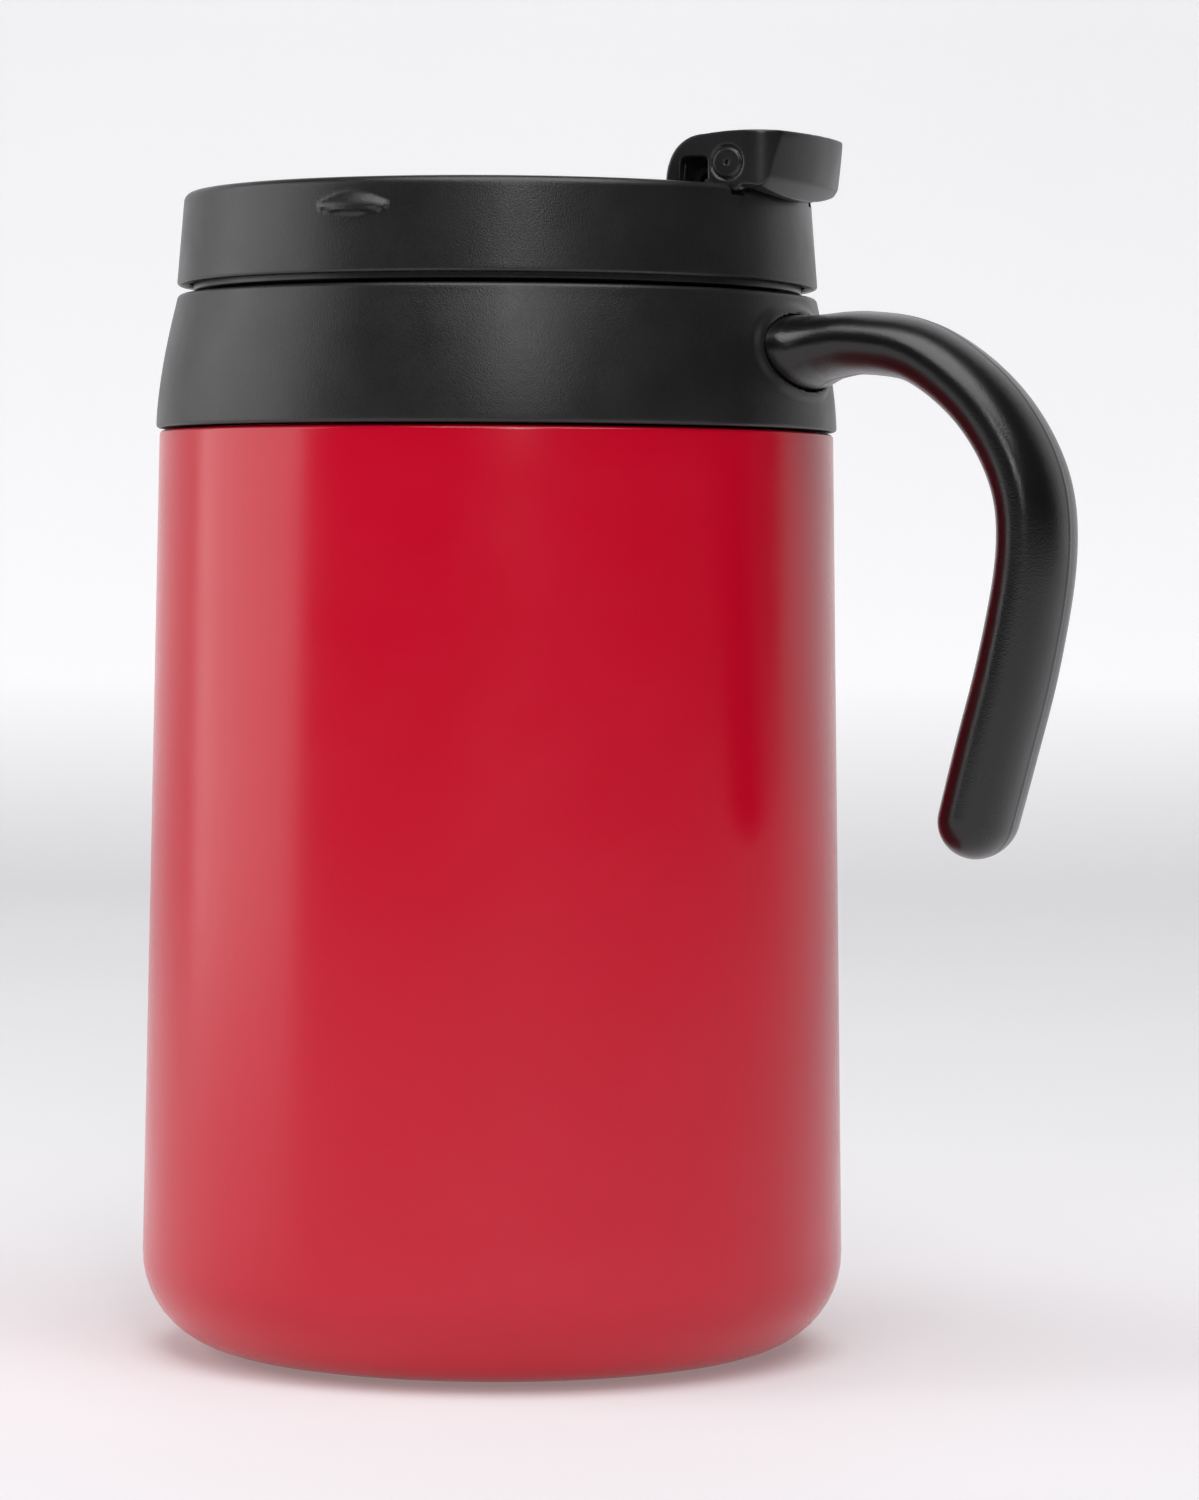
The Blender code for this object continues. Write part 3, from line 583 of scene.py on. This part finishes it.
def shape_collar(radius, angle, z):
    """Raise a soft lip round the handle's seat outside and the thread inside."""
    outside = (radius > COLLAR_SKIN_RADIUS) & (np.cos(angle) > 0.5)
    distance = seat_distance(radius * np.sin(angle), z)
    lip = SEAT_LIP_PROUD * (1 - ramp(0.3, SEAT_LIP_WIDTH, distance)) * ramp(-0.25, 0.1, distance)
    pocket = SEAT_POCKET_DEPTH * (1 - ramp(-0.25, 0.0, distance))
    radius = radius + np.where(outside, lip - pocket, 0)
    bore = (radius < COLLAR_BORE + 0.2) & (z > THREAD_FOOT_Z)
    ridge = (COLLAR_BORE - COLLAR_RIDGE_TIP) * ridge_height(angle, z, THREAD_START_Z)
    return radius - np.where(bore, ridge, 0)


def build_collar():
    base, top = collar_low.z, collar_high.z
    sleeve = NECK_RADIUS + 0.4
    ledge = neck_gasket_high.z + GAP
    side = [(float(collar_radius(z)), float(z)) for z in np.linspace(base + 1.2, top - 1.6, 12)]
    outline = rounded([
        (sleeve, base, 0.1), (float(collar_radius(base)), base, 0.45), *side,
        (COLLAR_TOP_RADIUS + 0.05, top, 0.7), (COLLAR_BORE, top, 0.7), (COLLAR_BORE, ledge, 0.15),
        (sleeve, ledge, 0.15)])
    angles = angles_denser_near_x(300, 150, 0.36)
    collar = turned("collar_moulding", refined(outline, 0.3), angles, shape_collar)
    place(collar, "vessel", ["collar"], COLLAR_PLASTIC)
    low, high = neck_gasket_low.z, neck_gasket_high.z
    ring = rounded([(COLLAR_BORE - 0.3, low, 0.2), (NECK_RADIUS, low, 0.2), (NECK_RADIUS, high, 0.2),
                    (COLLAR_BORE - 0.3, high, 0.2)])
    place(turned("neck_gasket", ring), "vessel", ["collar_gasket"], SILICONE)


# ---------------------------------------------------------------- handle

# Centre line from the collar to the open end: x, z, half width across the grip, and half
# thickness toward its outer and its inner side
HANDLE_POINTS = (
    (41.3, 127.7, 10.1, 4.40, 4.90),
    (43.2, 127.7, 10.1, 4.40, 4.90),
    (44.4, 127.9, 9.7, 4.15, 4.55),
    (46.6, 128.25, 9.0, 3.95, 4.10),
    (51.5, 128.6, 8.4, 3.85, 3.90),
    (59.3, 127.0, 8.2, 3.90, 3.95),
    (67.4, 120.7, 8.2, 4.10, 4.10),
    (72.6, 112.0, 8.2, 4.25, 4.25),
    (73.7, 102.5, 8.2, 4.30, 4.30),
    (71.6, 89.5, 8.2, 4.45, 4.45),
    (68.5, 77.5, 8.1, 4.50, 4.50),
    (65.2, 64.9, 7.6, 4.40, 4.40),
)
HANDLE_TIP = 5.0               # length over which the open end closes
HANDLE_STATIONS = 170
TIP_STATIONS = 16
SECTION_POWER = 2.15           # 2 would be an ellipse
PARTING_LINE = 0.06            # how far the mould's parting line stands up


def smooth_path(points, samples):
    """Catmull-Rom curve through the points, sampled at even steps of its parameter."""
    table = np.array(points)
    table = np.vstack([2 * table[0] - table[1], table, 2 * table[-1] - table[-2]])
    spans = len(points) - 1
    path = []
    for value in np.linspace(0, spans, samples):
        span = min(int(value), spans - 1)
        t = value - span
        before, start, end, after = table[span:span + 4]
        path.append(0.5 * (2 * start + (end - before) * t
                           + (2 * before - 5 * start + 4 * end - after) * t ** 2
                           + (3 * start - before - 3 * end + after) * t ** 3))
    return np.array(path)


def relaxed(path, passes):
    """Even out small kinks along a path, with its ends held."""
    for _ in range(passes):
        path[1:-1] = 0.5 * path[1:-1] + 0.25 * (path[:-2] + path[2:])
    return path


def handle_section():
    """Angles round the section, with close pairs beside the parting lines on both spines."""
    angles = np.degrees(even_angles(72))
    extra = [spine + side for spine in (90, 270) for side in (-1.2, 1.2)]
    return np.radians(np.sort(np.concatenate([angles, extra])))


def build_handle():
    """J-shaped grip: a rounded section along the centre line, closed by a round tip."""
    fine = relaxed(smooth_path(HANDLE_POINTS, 1200), 400)
    length = np.concatenate([[0], np.cumsum(np.linalg.norm(np.diff(fine[:, :2], axis=0), axis=1))])
    grip_end = length[-1] - HANDLE_TIP
    swing = np.linspace(0, math.pi / 2, TIP_STATIONS + 1)[1:-1]
    stations = np.concatenate([np.linspace(0, grip_end, HANDLE_STATIONS),
                               grip_end + HANDLE_TIP * np.sin(swing)])
    shrink = np.concatenate([np.ones(HANDLE_STATIONS), np.cos(swing)])
    rows = np.stack([np.interp(stations, length, fine[:, k]) for k in range(5)], axis=1)
    ahead = np.stack([np.interp(stations + 0.4, length, fine[:, k]) for k in range(2)], axis=1)
    behind = np.stack([np.interp(stations - 0.4, length, fine[:, k]) for k in range(2)], axis=1)
    along = (ahead - behind) / np.linalg.norm(ahead - behind, axis=1)[:, None]
    angles = handle_section()
    cosine, sine = np.cos(angles), np.sin(angles)
    power = 2 / SECTION_POWER
    across = np.sign(cosine) * np.abs(cosine) ** power
    out = np.sign(sine) * np.abs(sine) ** power
    spine = np.abs(np.abs(sine) - 1) < 1e-9
    points = []
    for (x, z, width, outer, inner), (tangent_x, tangent_z), scale in zip(rows, along, shrink):
        reach = np.where(out > 0, outer, inner) * out + np.where(spine, PARTING_LINE * np.sign(out), 0)
        reach *= scale
        ring = [x - tangent_z * reach, width * scale * across, z + tangent_x * reach]
        points.append(np.stack(ring, axis=-1))
    sides = len(angles)
    faces = ring_faces(len(points), sides, False)
    points = np.concatenate(points)
    tip = len(points)
    points = np.vstack([points, [fine[-1, 0], 0, fine[-1, 1]]])
    last = tip - sides
    faces += [(last + side, last + (side + 1) % sides, tip) for side in range(sides)]
    faces.append(tuple(range(sides)))
    handle = mesh_object("handle_moulding", points, faces)
    place(handle, "vessel", ["handle"], HANDLE_PLASTIC)


# ---------------------------------------------------------------- lid

LID_BASE_RADIUS = 41.0
LID_TOP_RADIUS = 40.05
LID_TOP_Z = 147.8
LID_FLOOR_Z = 145.6
LID_SKIRT_BORE = 39.25
LID_RECESS_RADIUS = 37.1
LID_PLATE = 1.8
MARK_Z = 144.35
MARK_HALF_LENGTH = 5.1
MARK_UP = 1.5
MARK_DOWN = 1.15
MARK_PROUD = 1.0

HINGE_X = 33.5
HINGE_Z = 148.2
LUG_INNER_Y = 7.0
LUG_OUTER_Y = 9.6
POCKET_X = (28.4, 35.6)
POCKET_FLOOR_Z = 143.1
POCKET_HALF_WIDTH = 12.9
POCKET_WALL = 1.7
WELL_END_X = 36.7
SPOUT_END_X = 37.8             # inside the lid's wall at the pad's corners
LUG_RADIUS = 1.9
PIN_BORE_RADIUS = 1.05
EAR_SLOT_Y = (10.3, 12.7)
EAR_SLOT_FLOOR_Z = 146.4
SIP_X = (36.4, 39.0)
SIP_HALF_LENGTH = 5.5
VENT_X = -24.0
VENT_HOLE_RADIUS = 1.6
LID_CUT_Z = (140, 150)         # cuts right through the lid's top plate reach this far


def shape_lid(radius, angle, z):
    """Lens-shaped grip marks on three sides: a soft arched top and a nearly straight crisp foot."""
    quarter = math.pi / 2
    near = np.mod(angle + quarter / 2, quarter) - quarter / 2
    along = near * LID_TOP_RADIUS / MARK_HALF_LENGTH
    reach = np.clip(1 - along ** 2, 0, 1)
    up = (z - MARK_Z) / (MARK_UP * reach + 1e-6)
    down = (MARK_Z - z) / (MARK_DOWN * reach ** 0.6 + 1e-6)
    rise = np.where(z > MARK_Z, np.clip(1 - up, 0, 1) ** 0.8, 1 - ramp(0.55, 1.0, down))
    outside = (radius > 39.6) & (z < LID_TOP_Z - 1.0) & (np.cos(angle) < 0.5)
    return radius + np.where(outside & (reach > 0), MARK_PROUD * rise * reach ** 0.7, 0)


def lid_angles():
    """Angles round the lid, closer together at the grip marks."""
    half = 0.15
    quarter = math.pi / 2
    angles = []
    for index in range(4):
        centre = index * quarter
        angles.append(centre + np.linspace(-half, half, 60, endpoint=False))
        angles.append(centre + np.linspace(half, quarter - half, 50, endpoint=False))
    return np.concatenate(angles)


def build_lid_top():
    """Dished lid with its grip marks, hinge pocket and lugs, sip hole and vent hole."""
    under = LID_FLOOR_Z - LID_PLATE
    outline = rounded([
        (0, LID_FLOOR_Z - 0.3), (LID_RECESS_RADIUS, LID_FLOOR_Z, 0.5),
        (LID_RECESS_RADIUS + 1.0, LID_TOP_Z, 0.45), (LID_TOP_RADIUS, LID_TOP_Z, 1.1),
        (LID_BASE_RADIUS, lid_low.z, 0.4), (LID_SKIRT_BORE + 0.2, lid_low.z, 0.3),
        (LID_SKIRT_BORE, under, 0.4), (0, under)])
    lid = turned("lid_moulding", refined(outline, 0.35), lid_angles(), shape_lid)
    well_width = POCKET_HALF_WIDTH + POCKET_WALL
    well_plan = rectangle(POCKET_X[0] - POCKET_WALL, WELL_END_X, -well_width, well_width, 1.5)
    well = prism("well", well_plan, 'Z', POCKET_FLOOR_Z - 1.6, under + 0.6)
    spout_plan = rectangle(POCKET_X[1] - 1.5, SPOUT_END_X, -POCKET_HALF_WIDTH, POCKET_HALF_WIDTH)
    spout = prism("spout", spout_plan, 'Z', under + 0.4, LID_TOP_Z - 0.05)
    combine(lid, 'UNION', [well, spout])
    pocket_plan = rectangle(*POCKET_X, -POCKET_HALF_WIDTH, POCKET_HALF_WIDTH, 0.8)
    combine(lid, 'DIFFERENCE', [prism("pocket", pocket_plan, 'Z', POCKET_FLOOR_Z, LID_CUT_Z[1])])
    for side in (-1, 1):
        ends = sorted(side * y for y in EAR_SLOT_Y)
        slot_plan = rectangle(POCKET_X[1] - 0.5, 44, *ends)
        combine(lid, 'DIFFERENCE', [prism("slot", slot_plan, 'Z', EAR_SLOT_FLOOR_Z, LID_CUT_Z[1])])
        line = [*arc(HINGE_X, HINGE_Z, LUG_RADIUS, 250, 75, 14), (38.4, 147.4), (37.6, 146.3)]
        ends = sorted((side * LUG_INNER_Y, side * LUG_OUTER_Y))
        combine(lid, 'UNION', [prism("lug", line, 'Y', *ends)])
    bore = bar("bore", PIN_BORE_RADIUS, (HINGE_X, HINGE_Z), 'Y', -12, 12)
    sip_plan = rectangle(*SIP_X, -SIP_HALF_LENGTH, SIP_HALF_LENGTH, 1.2)
    sip = prism("sip", sip_plan, 'Z', *LID_CUT_Z)
    vent = bar("vent", VENT_HOLE_RADIUS, (VENT_X, 0), 'Z', *LID_CUT_Z)
    combine(lid, 'DIFFERENCE', [bore, sip, vent])
    place(lid, "lid", ["lid_shell"], LID_PLASTIC)


PLUG_RADIUS = 35.4
PLUG_FOOT_RADIUS = 35.0
PLUG_SPIGOT_RADIUS = 37.2
PLUG_WALL = 1.8
PLUG_RIDGE_TIP = 36.9
PLUG_THREAD_Z = (124.9, 134.5)
FLANGE_Z = (135.3, 137.3)
SEAL_GROOVE_Z = (121.6, 124.4)
SEAL_GROOVE_RADIUS = 33.6
POUR_X = (24, 28.5)
POUR_HALF_LENGTH = 7
BREATHER_RADIUS = 1.5


def shape_plug(radius, angle, z):
    """Raise the plug's thread, half a turn's lead below the collar's."""
    foot, head = PLUG_THREAD_Z
    threaded = (np.abs(radius - PLUG_RADIUS) < 0.05) & (z > foot) & (z < head)
    ridge = (PLUG_RIDGE_TIP - PLUG_RADIUS) * ridge_height(angle, z, THREAD_START_Z - THREAD_LEAD / 2)
    return radius + np.where(threaded, ridge, 0)


def build_lid_plug():
    """Threaded plug under the lid: a cup with a seal groove, a flange and two openings."""
    base, top, inside = plug_low.z, plug_high.z, PLUG_RADIUS - PLUG_WALL
    flange = plug_high.x
    groove_foot, groove_head = SEAL_GROOVE_Z
    flange_foot, flange_head = FLANGE_Z
    outline = rounded([
        (0, base), (PLUG_FOOT_RADIUS, base, 0.5), (PLUG_FOOT_RADIUS, groove_foot, 0.15),
        (SEAL_GROOVE_RADIUS, groove_foot, 0.3), (SEAL_GROOVE_RADIUS, groove_head, 0.3),
        (PLUG_RADIUS, groove_head, 0.25), (PLUG_RADIUS, flange_foot, 0.3),
        (flange, flange_foot, 0.3), (flange, flange_head, 0.3),
        (PLUG_SPIGOT_RADIUS, flange_head, 0.3), (PLUG_SPIGOT_RADIUS, top, 0.3),
        (inside, top, 0.3), (inside, 126.5, 1), (SEAL_GROOVE_RADIUS - PLUG_WALL, 124.5, 1),
        (SEAL_GROOVE_RADIUS - PLUG_WALL, base + PLUG_WALL, 0.8), (0, base + PLUG_WALL)])
    plug = turned("lid_plug_moulding", refined(outline, 0.3), even_angles(240), shape_plug)
    through = (base - 2, base + PLUG_WALL + 1)
    pour_plan = rectangle(*POUR_X, -POUR_HALF_LENGTH, POUR_HALF_LENGTH, 2.0)
    pour = prism("pour", pour_plan, 'Z', *through)
    breather = bar("breather", BREATHER_RADIUS, (VENT_X, 0), 'Z', *through)
    combine(plug, 'DIFFERENCE', [pour, breather])
    place(plug, "lid", ["lid_plug"], PLUG_PLASTIC)


def build_lid_seals():
    """Finned seal ring near the plug's foot, and the gasket under its flange."""
    low, high, inner, outer = seal_low.z, seal_high.z, 33.9, seal_high.x
    fins = rounded([(inner, low, 0.2), (outer - 0.8, low, 0.3), (outer, low + 0.35, 0.16),
                    (outer - 0.8, low + 1.0, 0.2), (outer, low + 1.6, 0.16), (outer - 0.8, high, 0.3),
                    (inner, high, 0.2)])
    place(turned("lid_seal_ring", fins, even_angles(192)), "seal_ring", ["lid_seal"], SILICONE)
    low, high, outer = gasket_low.z, gasket_high.z, gasket_high.x
    ring = rounded([(37.5, low + 0.1, 0.2), (outer - 0.2, low, 0.3), (outer, low + 0.8, 0.3),
                    (outer - 0.2, high, 0.3), (37.5, high, 0.2)])
    place(turned("plug_seal_ring", ring, even_angles(192)), "lid", ["plug_gasket"], SILICONE)


SLIT_HALF_SIZE = (1.3, 0.12)


def build_vent_plug():
    """Silicone mushroom with a cross slit in its head."""
    low, high = vent_low.z, vent_high.z
    under = LID_FLOOR_Z - LID_PLATE
    outline = rounded([
        (0, low), (1.2, low, 0.4), (2.2, under - 0.6, 0.3), (2.2, under - GAP, 0.1),
        (1.3, under - GAP, 0.1), (1.3, LID_FLOOR_Z + 0.2, 0.1), (2.8, LID_FLOOR_Z + 0.2, 0.2),
        (2.7, high, 0.7), (0, high)])
    plug = turned("vent_plug_moulding", outline, even_angles(48))
    plug.data.transform(Matrix.Translation((VENT_X * MM, 0, 0)))
    long, thin = SLIT_HALF_SIZE
    slits = [prism("slit", rectangle(VENT_X - half_x, VENT_X + half_x, -half_y, half_y),
                   'Z', high - 0.5, high + 1)
             for half_x, half_y in ((long, thin), (thin, long))]
    combine(plug, 'DIFFERENCE', slits)
    place(plug, "lid", ["vent_plug"], SILICONE)


# ---------------------------------------------------------------- flip cap

# Inner end of the cap: angle about the hinge and distance from it, up to the flat top
CAP_END = ((180, 4.5), (165, 4.55), (150, 4.75), (135, 5.05), (120, 5.35), (105, 5.6), (92, 5.78))
CAP_HALF_WIDTH = 12.3
CAP_WALL = 1.6
CAP_LIP_FOOT_Z = 146.3
CAP_LIP_RISE = 1.3             # how much higher the lip's foot is at its two ends
CAP_EAR_X = (34.6, 39.4)
CAP_EAR_FOOT_Z = 146.9
CAP_REACH_X = 46.0             # the side outline ends here, beyond the lip
CAP_PEAK_Z = 154.4
CAP_DROOP = 0.45               # how much lower the upper face is above the hinge
CAP_MOULD_PASSES = 12
# The lip's section: radius at its foot, just above the foot and near its top, and the height
# over which the foot turns under
LIP_FACE = (42.2, 43.9, 44.75, 2.0)
LIP_BACK = (41.0, 41.3, 42.3, 2.2)
# Plan outline: a hair larger than the cap itself, so that no two faces coincide
PLAN_RADIUS = 44.76
PLAN_HALF_WIDTH = 12.31
PLAN_CORNER = 4.5
NOTCH_INNER_X = 31.0
NOTCH_TOP_Z = 151.2
BARREL_RADIUS = 1.75
BARREL_HALF_LENGTH = 6.6
WEB_HALF_WIDTH = 1.2
EAR_BOSS = (37.2, 150.4)
EAR_RING_RADIUS = 2.15
EAR_RING_DEPTH = 0.35
EAR_CORE_RADIUS = 1.8
EAR_DIMPLE_RADIUS = 0.3


def cap_top(x):
    """Height of the cap's nearly flat upper face."""
    return CAP_PEAK_Z - CAP_DROOP * (1 - min(1, (x - HINGE_X) / 6)) ** 2


def cap_line(inset):
    """Rounded inner end and upper face of the cap in side view, from the end to the lip."""
    angles = np.linspace(180, 92, 18)
    known, lengths = zip(*reversed(CAP_END))
    reaches = np.interp(angles, known, lengths) - inset
    end = [(HINGE_X + reach * math.cos(t), HINGE_Z + reach * math.sin(t))
           for t, reach in zip(np.radians(angles), reaches)]
    return end + [(x, cap_top(x) - inset) for x in np.linspace(34.2, CAP_REACH_X, 20)]


def lip_section(name, foot, face_foot, face_top, foot_turn):
    """A solid turned about the mug's axis that trims the lip to a face concentric with the rim."""
    outline = rounded([
        (0, 138), (foot, 138), (foot, CAP_LIP_FOOT_Z), (face_foot, CAP_LIP_FOOT_Z + foot_turn, 1.2),
        (face_top, 154.2, 3.0), (face_top - 1.0, 158), (0, 158)])
    return turned(name, outline, even_angles(256))


def build_flip_cap():
    """Hollow cap with a curved lip, two ears, and a barrel on the hinge pin under a web."""
    ear, ear_end = CAP_EAR_X
    half = CAP_HALF_WIDTH
    shell = [*cap_line(0), (CAP_REACH_X, CAP_LIP_FOOT_Z), (ear_end - 0.2, CAP_LIP_FOOT_Z),
             (ear_end - 0.2, HINGE_Z)]
    cap = prism("flip_cap_moulding", shell, 'Y', -half, half)
    ear_line = rounded([(ear, 152), (ear, CAP_EAR_FOOT_Z, 2.2), (ear_end, CAP_EAR_FOOT_Z, 2.1),
                        (ear_end + 1.5, 150.5), (44, 152)], 10)
    combine(cap, 'UNION', [prism("ears", ear_line, 'Y', -half, half)])
    combine(cap, 'INTERSECT', [lip_section("lip_face", *LIP_FACE)])
    corner = math.sqrt(PLAN_RADIUS ** 2 - half ** 2)
    plan = rounded([(25, -PLAN_HALF_WIDTH), (corner, -PLAN_HALF_WIDTH, PLAN_CORNER), (45.2, -4),
                    (45.2, 4), (corner, PLAN_HALF_WIDTH, PLAN_CORNER), (25, PLAN_HALF_WIDTH)], 16)
    combine(cap, 'INTERSECT', [prism("plan", plan, 'Z', 140, 160)])
    hollow = [*cap_line(CAP_WALL), (CAP_REACH_X, 138), (HINGE_X - CAP_END[0][1] + CAP_WALL, 138)]
    cavity = prism("cavity", hollow, 'Y', CAP_WALL - half, half - CAP_WALL)
    combine(cavity, 'INTERSECT', [lip_section("lip_back", *LIP_BACK)])
    combine(cap, 'DIFFERENCE', [cavity])
    notch = rounded([(NOTCH_INNER_X, 138), (ear, 138), (ear, NOTCH_TOP_Z, 0.5),
                     (NOTCH_INNER_X, NOTCH_TOP_Z, 0.8)], 8)
    combine(cap, 'DIFFERENCE', [prism("notch", notch, 'Y', -15, 15)])
    foot = [(y, CAP_LIP_FOOT_Z + CAP_LIP_RISE * (y / half) ** 2) for y in np.linspace(-13, 13, 25)]
    below = [*foot, (13, 140), (-13, 140)]
    combine(cap, 'DIFFERENCE', [prism("foot", below, 'X', ear_end - 0.4, 47)])
    add_ear_relief(cap)
    hinge = (HINGE_X, HINGE_Z)
    ends = (-BARREL_HALF_LENGTH, BARREL_HALF_LENGTH)
    web = rectangle(HINGE_X - WEB_HALF_WIDTH, HINGE_X + WEB_HALF_WIDTH, HINGE_Z + 0.8,
                    cap_top(HINGE_X) - 0.8)
    combine(cap, 'UNION', [bar("barrel", BARREL_RADIUS, hinge, 'Y', *ends),
                           prism("web", web, 'Y', *ends)])
    combine(cap, 'DIFFERENCE', [bar("bore", PIN_BORE_RADIUS, hinge, 'Y', -8, 8)])
    moulded(cap, CAP_MOULD_PASSES)
    place(cap, "cap", ["flip_cap"], CAP_PLASTIC)


def add_ear_relief(cap):
    """A round boss inside a narrow groove on each ear, with a small dimple in its middle."""
    for side in (-1, 1):
        face = side * CAP_HALF_WIDTH
        for name, radius, depth, proud, operation, sides in (
                ("ring", EAR_RING_RADIUS, EAR_RING_DEPTH, 1.0, 'DIFFERENCE', 48),
                ("core", EAR_CORE_RADIUS, 1.0, 0.05, 'UNION', 48),
                ("dimple", EAR_DIMPLE_RADIUS, 0.5, 1.0, 'DIFFERENCE', 20)):
            ends = sorted((face - side * depth, face + side * proud))
            combine(cap, operation, [bar(name, radius, EAR_BOSS, 'Y', *ends, sides=sides)])


STOPPER_NUB = ((36.7, 149), (36.85, 146.4), (38.0, 146.4), (38.3, 149))    # x, z of its section
STOPPER_NUB_HALF_LENGTH = 5.1
STOPPER_MOULD_PASSES = 5


def build_cap_parts():
    """Hinge pin with chamfered ends, and the silicone stopper under the cap."""
    radius, half = (pin_high.x - pin_low.x) / 2, pin_high.y
    outline = rounded([(0, -half), (radius, -half, 0.2), (radius, half, 0.2), (0, half)])
    pin = turned("hinge_pin_rod", outline, even_angles(40))
    middle = Vector((HINGE_X, 0, HINGE_Z)) * MM
    pin.data.transform(Matrix.Translation(middle) @ Matrix.Rotation(math.pi / 2, 4, 'X'))
    place(pin, "lid", ["hinge_pin"], PIN_STEEL)
    low, high = stopper_low, stopper_high
    plan = rectangle(low.x, high.x, low.y, high.y, 0.8)
    pad = prism("sip_stopper_pad", plan, 'Z', LID_TOP_Z + GAP, high.z)
    nub = prism("nub", STOPPER_NUB, 'Y', -STOPPER_NUB_HALF_LENGTH, STOPPER_NUB_HALF_LENGTH)
    combine(pad, 'UNION', [nub])
    moulded(pad, STOPPER_MOULD_PASSES)
    place(pad, "cap", ["sip_stopper"], SILICONE)


def finish_hidden_nodes():
    """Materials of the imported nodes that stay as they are, inside the vacuum and the collar."""
    looks = {
        "vacuum_seal_bead": plain_metal("solder", (0.5, 0.5, 0.51), (0.35, 0.5)),
        "radiation_shield": plain_metal("copper_foil", (0.80, 0.42, 0.28), (0.18, 0.3)),
        "getter_pellet": plain_metal("sintered_pellet", (0.25, 0.25, 0.26), (0.6, 0.8)),
        "handle_screw_left": plain_metal("screw_steel", (0.6, 0.6, 0.6)),
    }
    looks["handle_screw_right"] = looks["handle_screw_left"]
    for node, look in looks.items():
        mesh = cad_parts[node].data
        mesh.materials.clear()
        mesh.materials.append(look)


# ---------------------------------------------------------------- stage and light

FLOOR_GLOW = 0.19
BACKDROP_GLOW = 0.50
SWEEP_NEAR = -2600             # from the mug's axis toward the camera
SWEEP_FAR = 1300
SWEEP_BEND = 400
SWEEP_HEIGHT = 1700
SWEEP_HALF_WIDTH = 3200
AIM_HEIGHT = 80                # the lights face this point on the mug's axis
WORLD_COLOUR = (0.9, 0.92, 1.0, 1)
WORLD_STRENGTH = 0.02


def studio_paper():
    """Pale paper that glows faintly, more so where it stands up behind the mug."""
    look = Look("studio_paper", (0.66, 0.65, 0.67), 0.7)
    look.shader.inputs["Specular IOR Level"].default_value = 0.2
    look.blend_colour(look.noise(240, 2), (0.67, 0.66, 0.68), (0.65, 0.64, 0.665))
    split = look.node("ShaderNodeSeparateXYZ")
    look.join(look.coords, split.inputs["Vector"])
    rising = look.ranged(split.outputs["Z"], 0.0, 0.06, FLOOR_GLOW, BACKDROP_GLOW)
    fading = look.ranged(split.outputs["Z"], 0.06, 0.30, 1.0, 0.8)
    glow = look.node("ShaderNodeMath", operation='MULTIPLY')
    look.join(rising, glow.inputs[0])
    look.join(fading, glow.inputs[1])
    receding = look.node("ShaderNodeMath", operation='MULTIPLY')
    look.join(look.ranged(split.outputs["Y"], -1.4, -0.5, 0.1, 1.0), receding.inputs[0])
    look.join(glow.outputs["Value"], receding.inputs[1])
    look.shader.inputs["Emission Color"].default_value = (1, 1, 1, 1)
    look.join(receding.outputs["Value"], look.shader.inputs["Emission Strength"])
    return look.material


def add_stage():
    """Pale sweep: a floor that curves up into a backdrop behind the mug."""
    bend_start = SWEEP_FAR - SWEEP_BEND
    line = [(SWEEP_NEAR, 0), (bend_start, 0),
            *arc(bend_start, SWEEP_BEND, SWEEP_BEND, -90, 0, 24), (SWEEP_FAR, SWEEP_HEIGHT)]
    points = [(side, y, z) for y, z in line for side in (-SWEEP_HALF_WIDTH, SWEEP_HALF_WIDTH)]
    faces = [(2 * i, 2 * i + 1, 2 * i + 3, 2 * i + 2) for i in range(len(line) - 1)]
    sweep = mesh_object("studio_sweep", points, faces)
    sweep.matrix_world = Matrix.Rotation(math.radians(CAMERA_AZIMUTH), 4, 'Z')
    sweep.data.materials.append(studio_paper())


# Soft lights: name, azimuth from the camera's side in degrees (positive to its right), distance,
# height, width and height of the panel, and its brightness
PANELS = (
    ("left_softbox", -92, 900, 350, 900, 900, 1.9),
    ("front_strip", 7, 1400, 740, 190, 600, 10.0),
    ("top_softbox", 12, 500, 1300, 1300, 1300, 3.7),
)


def add_lights():
    """Rectangular soft lights that face the mug, and a faint even world light."""
    for name, azimuth, distance, height, width, tall, brightness in PANELS:
        data = bpy.data.lights.new(name, 'AREA')
        data.shape = 'RECTANGLE'
        data.size, data.size_y = width * MM, tall * MM
        data.energy = brightness * math.pi * data.size * data.size_y
        light = bpy.data.objects.new(name, data)
        bpy.context.scene.collection.objects.link(light)
        angle = math.radians(CAMERA_AZIMUTH + azimuth)
        spot = Vector((math.sin(angle) * distance, -math.cos(angle) * distance, height)) * MM
        turn = (spot - Vector((0, 0, AIM_HEIGHT)) * MM).to_track_quat('Z', 'Y')
        light.matrix_world = Matrix.Translation(spot) @ turn.to_matrix().to_4x4()
    world = bpy.data.worlds.new("studio")
    bpy.context.scene.world = world
    world.use_nodes = True
    background = world.node_tree.nodes["Background"]
    background.inputs["Color"].default_value = WORLD_COLOUR
    background.inputs["Strength"].default_value = WORLD_STRENGTH
    bpy.context.scene.view_settings.view_transform = 'Standard'


build_painted_shell()
build_liner()
build_base()
build_collar()
build_handle()
build_lid_top()
build_lid_plug()
build_lid_seals()
build_vent_plug()
build_flip_cap()
build_cap_parts()
finish_hidden_nodes()
add_stage()
add_lights()
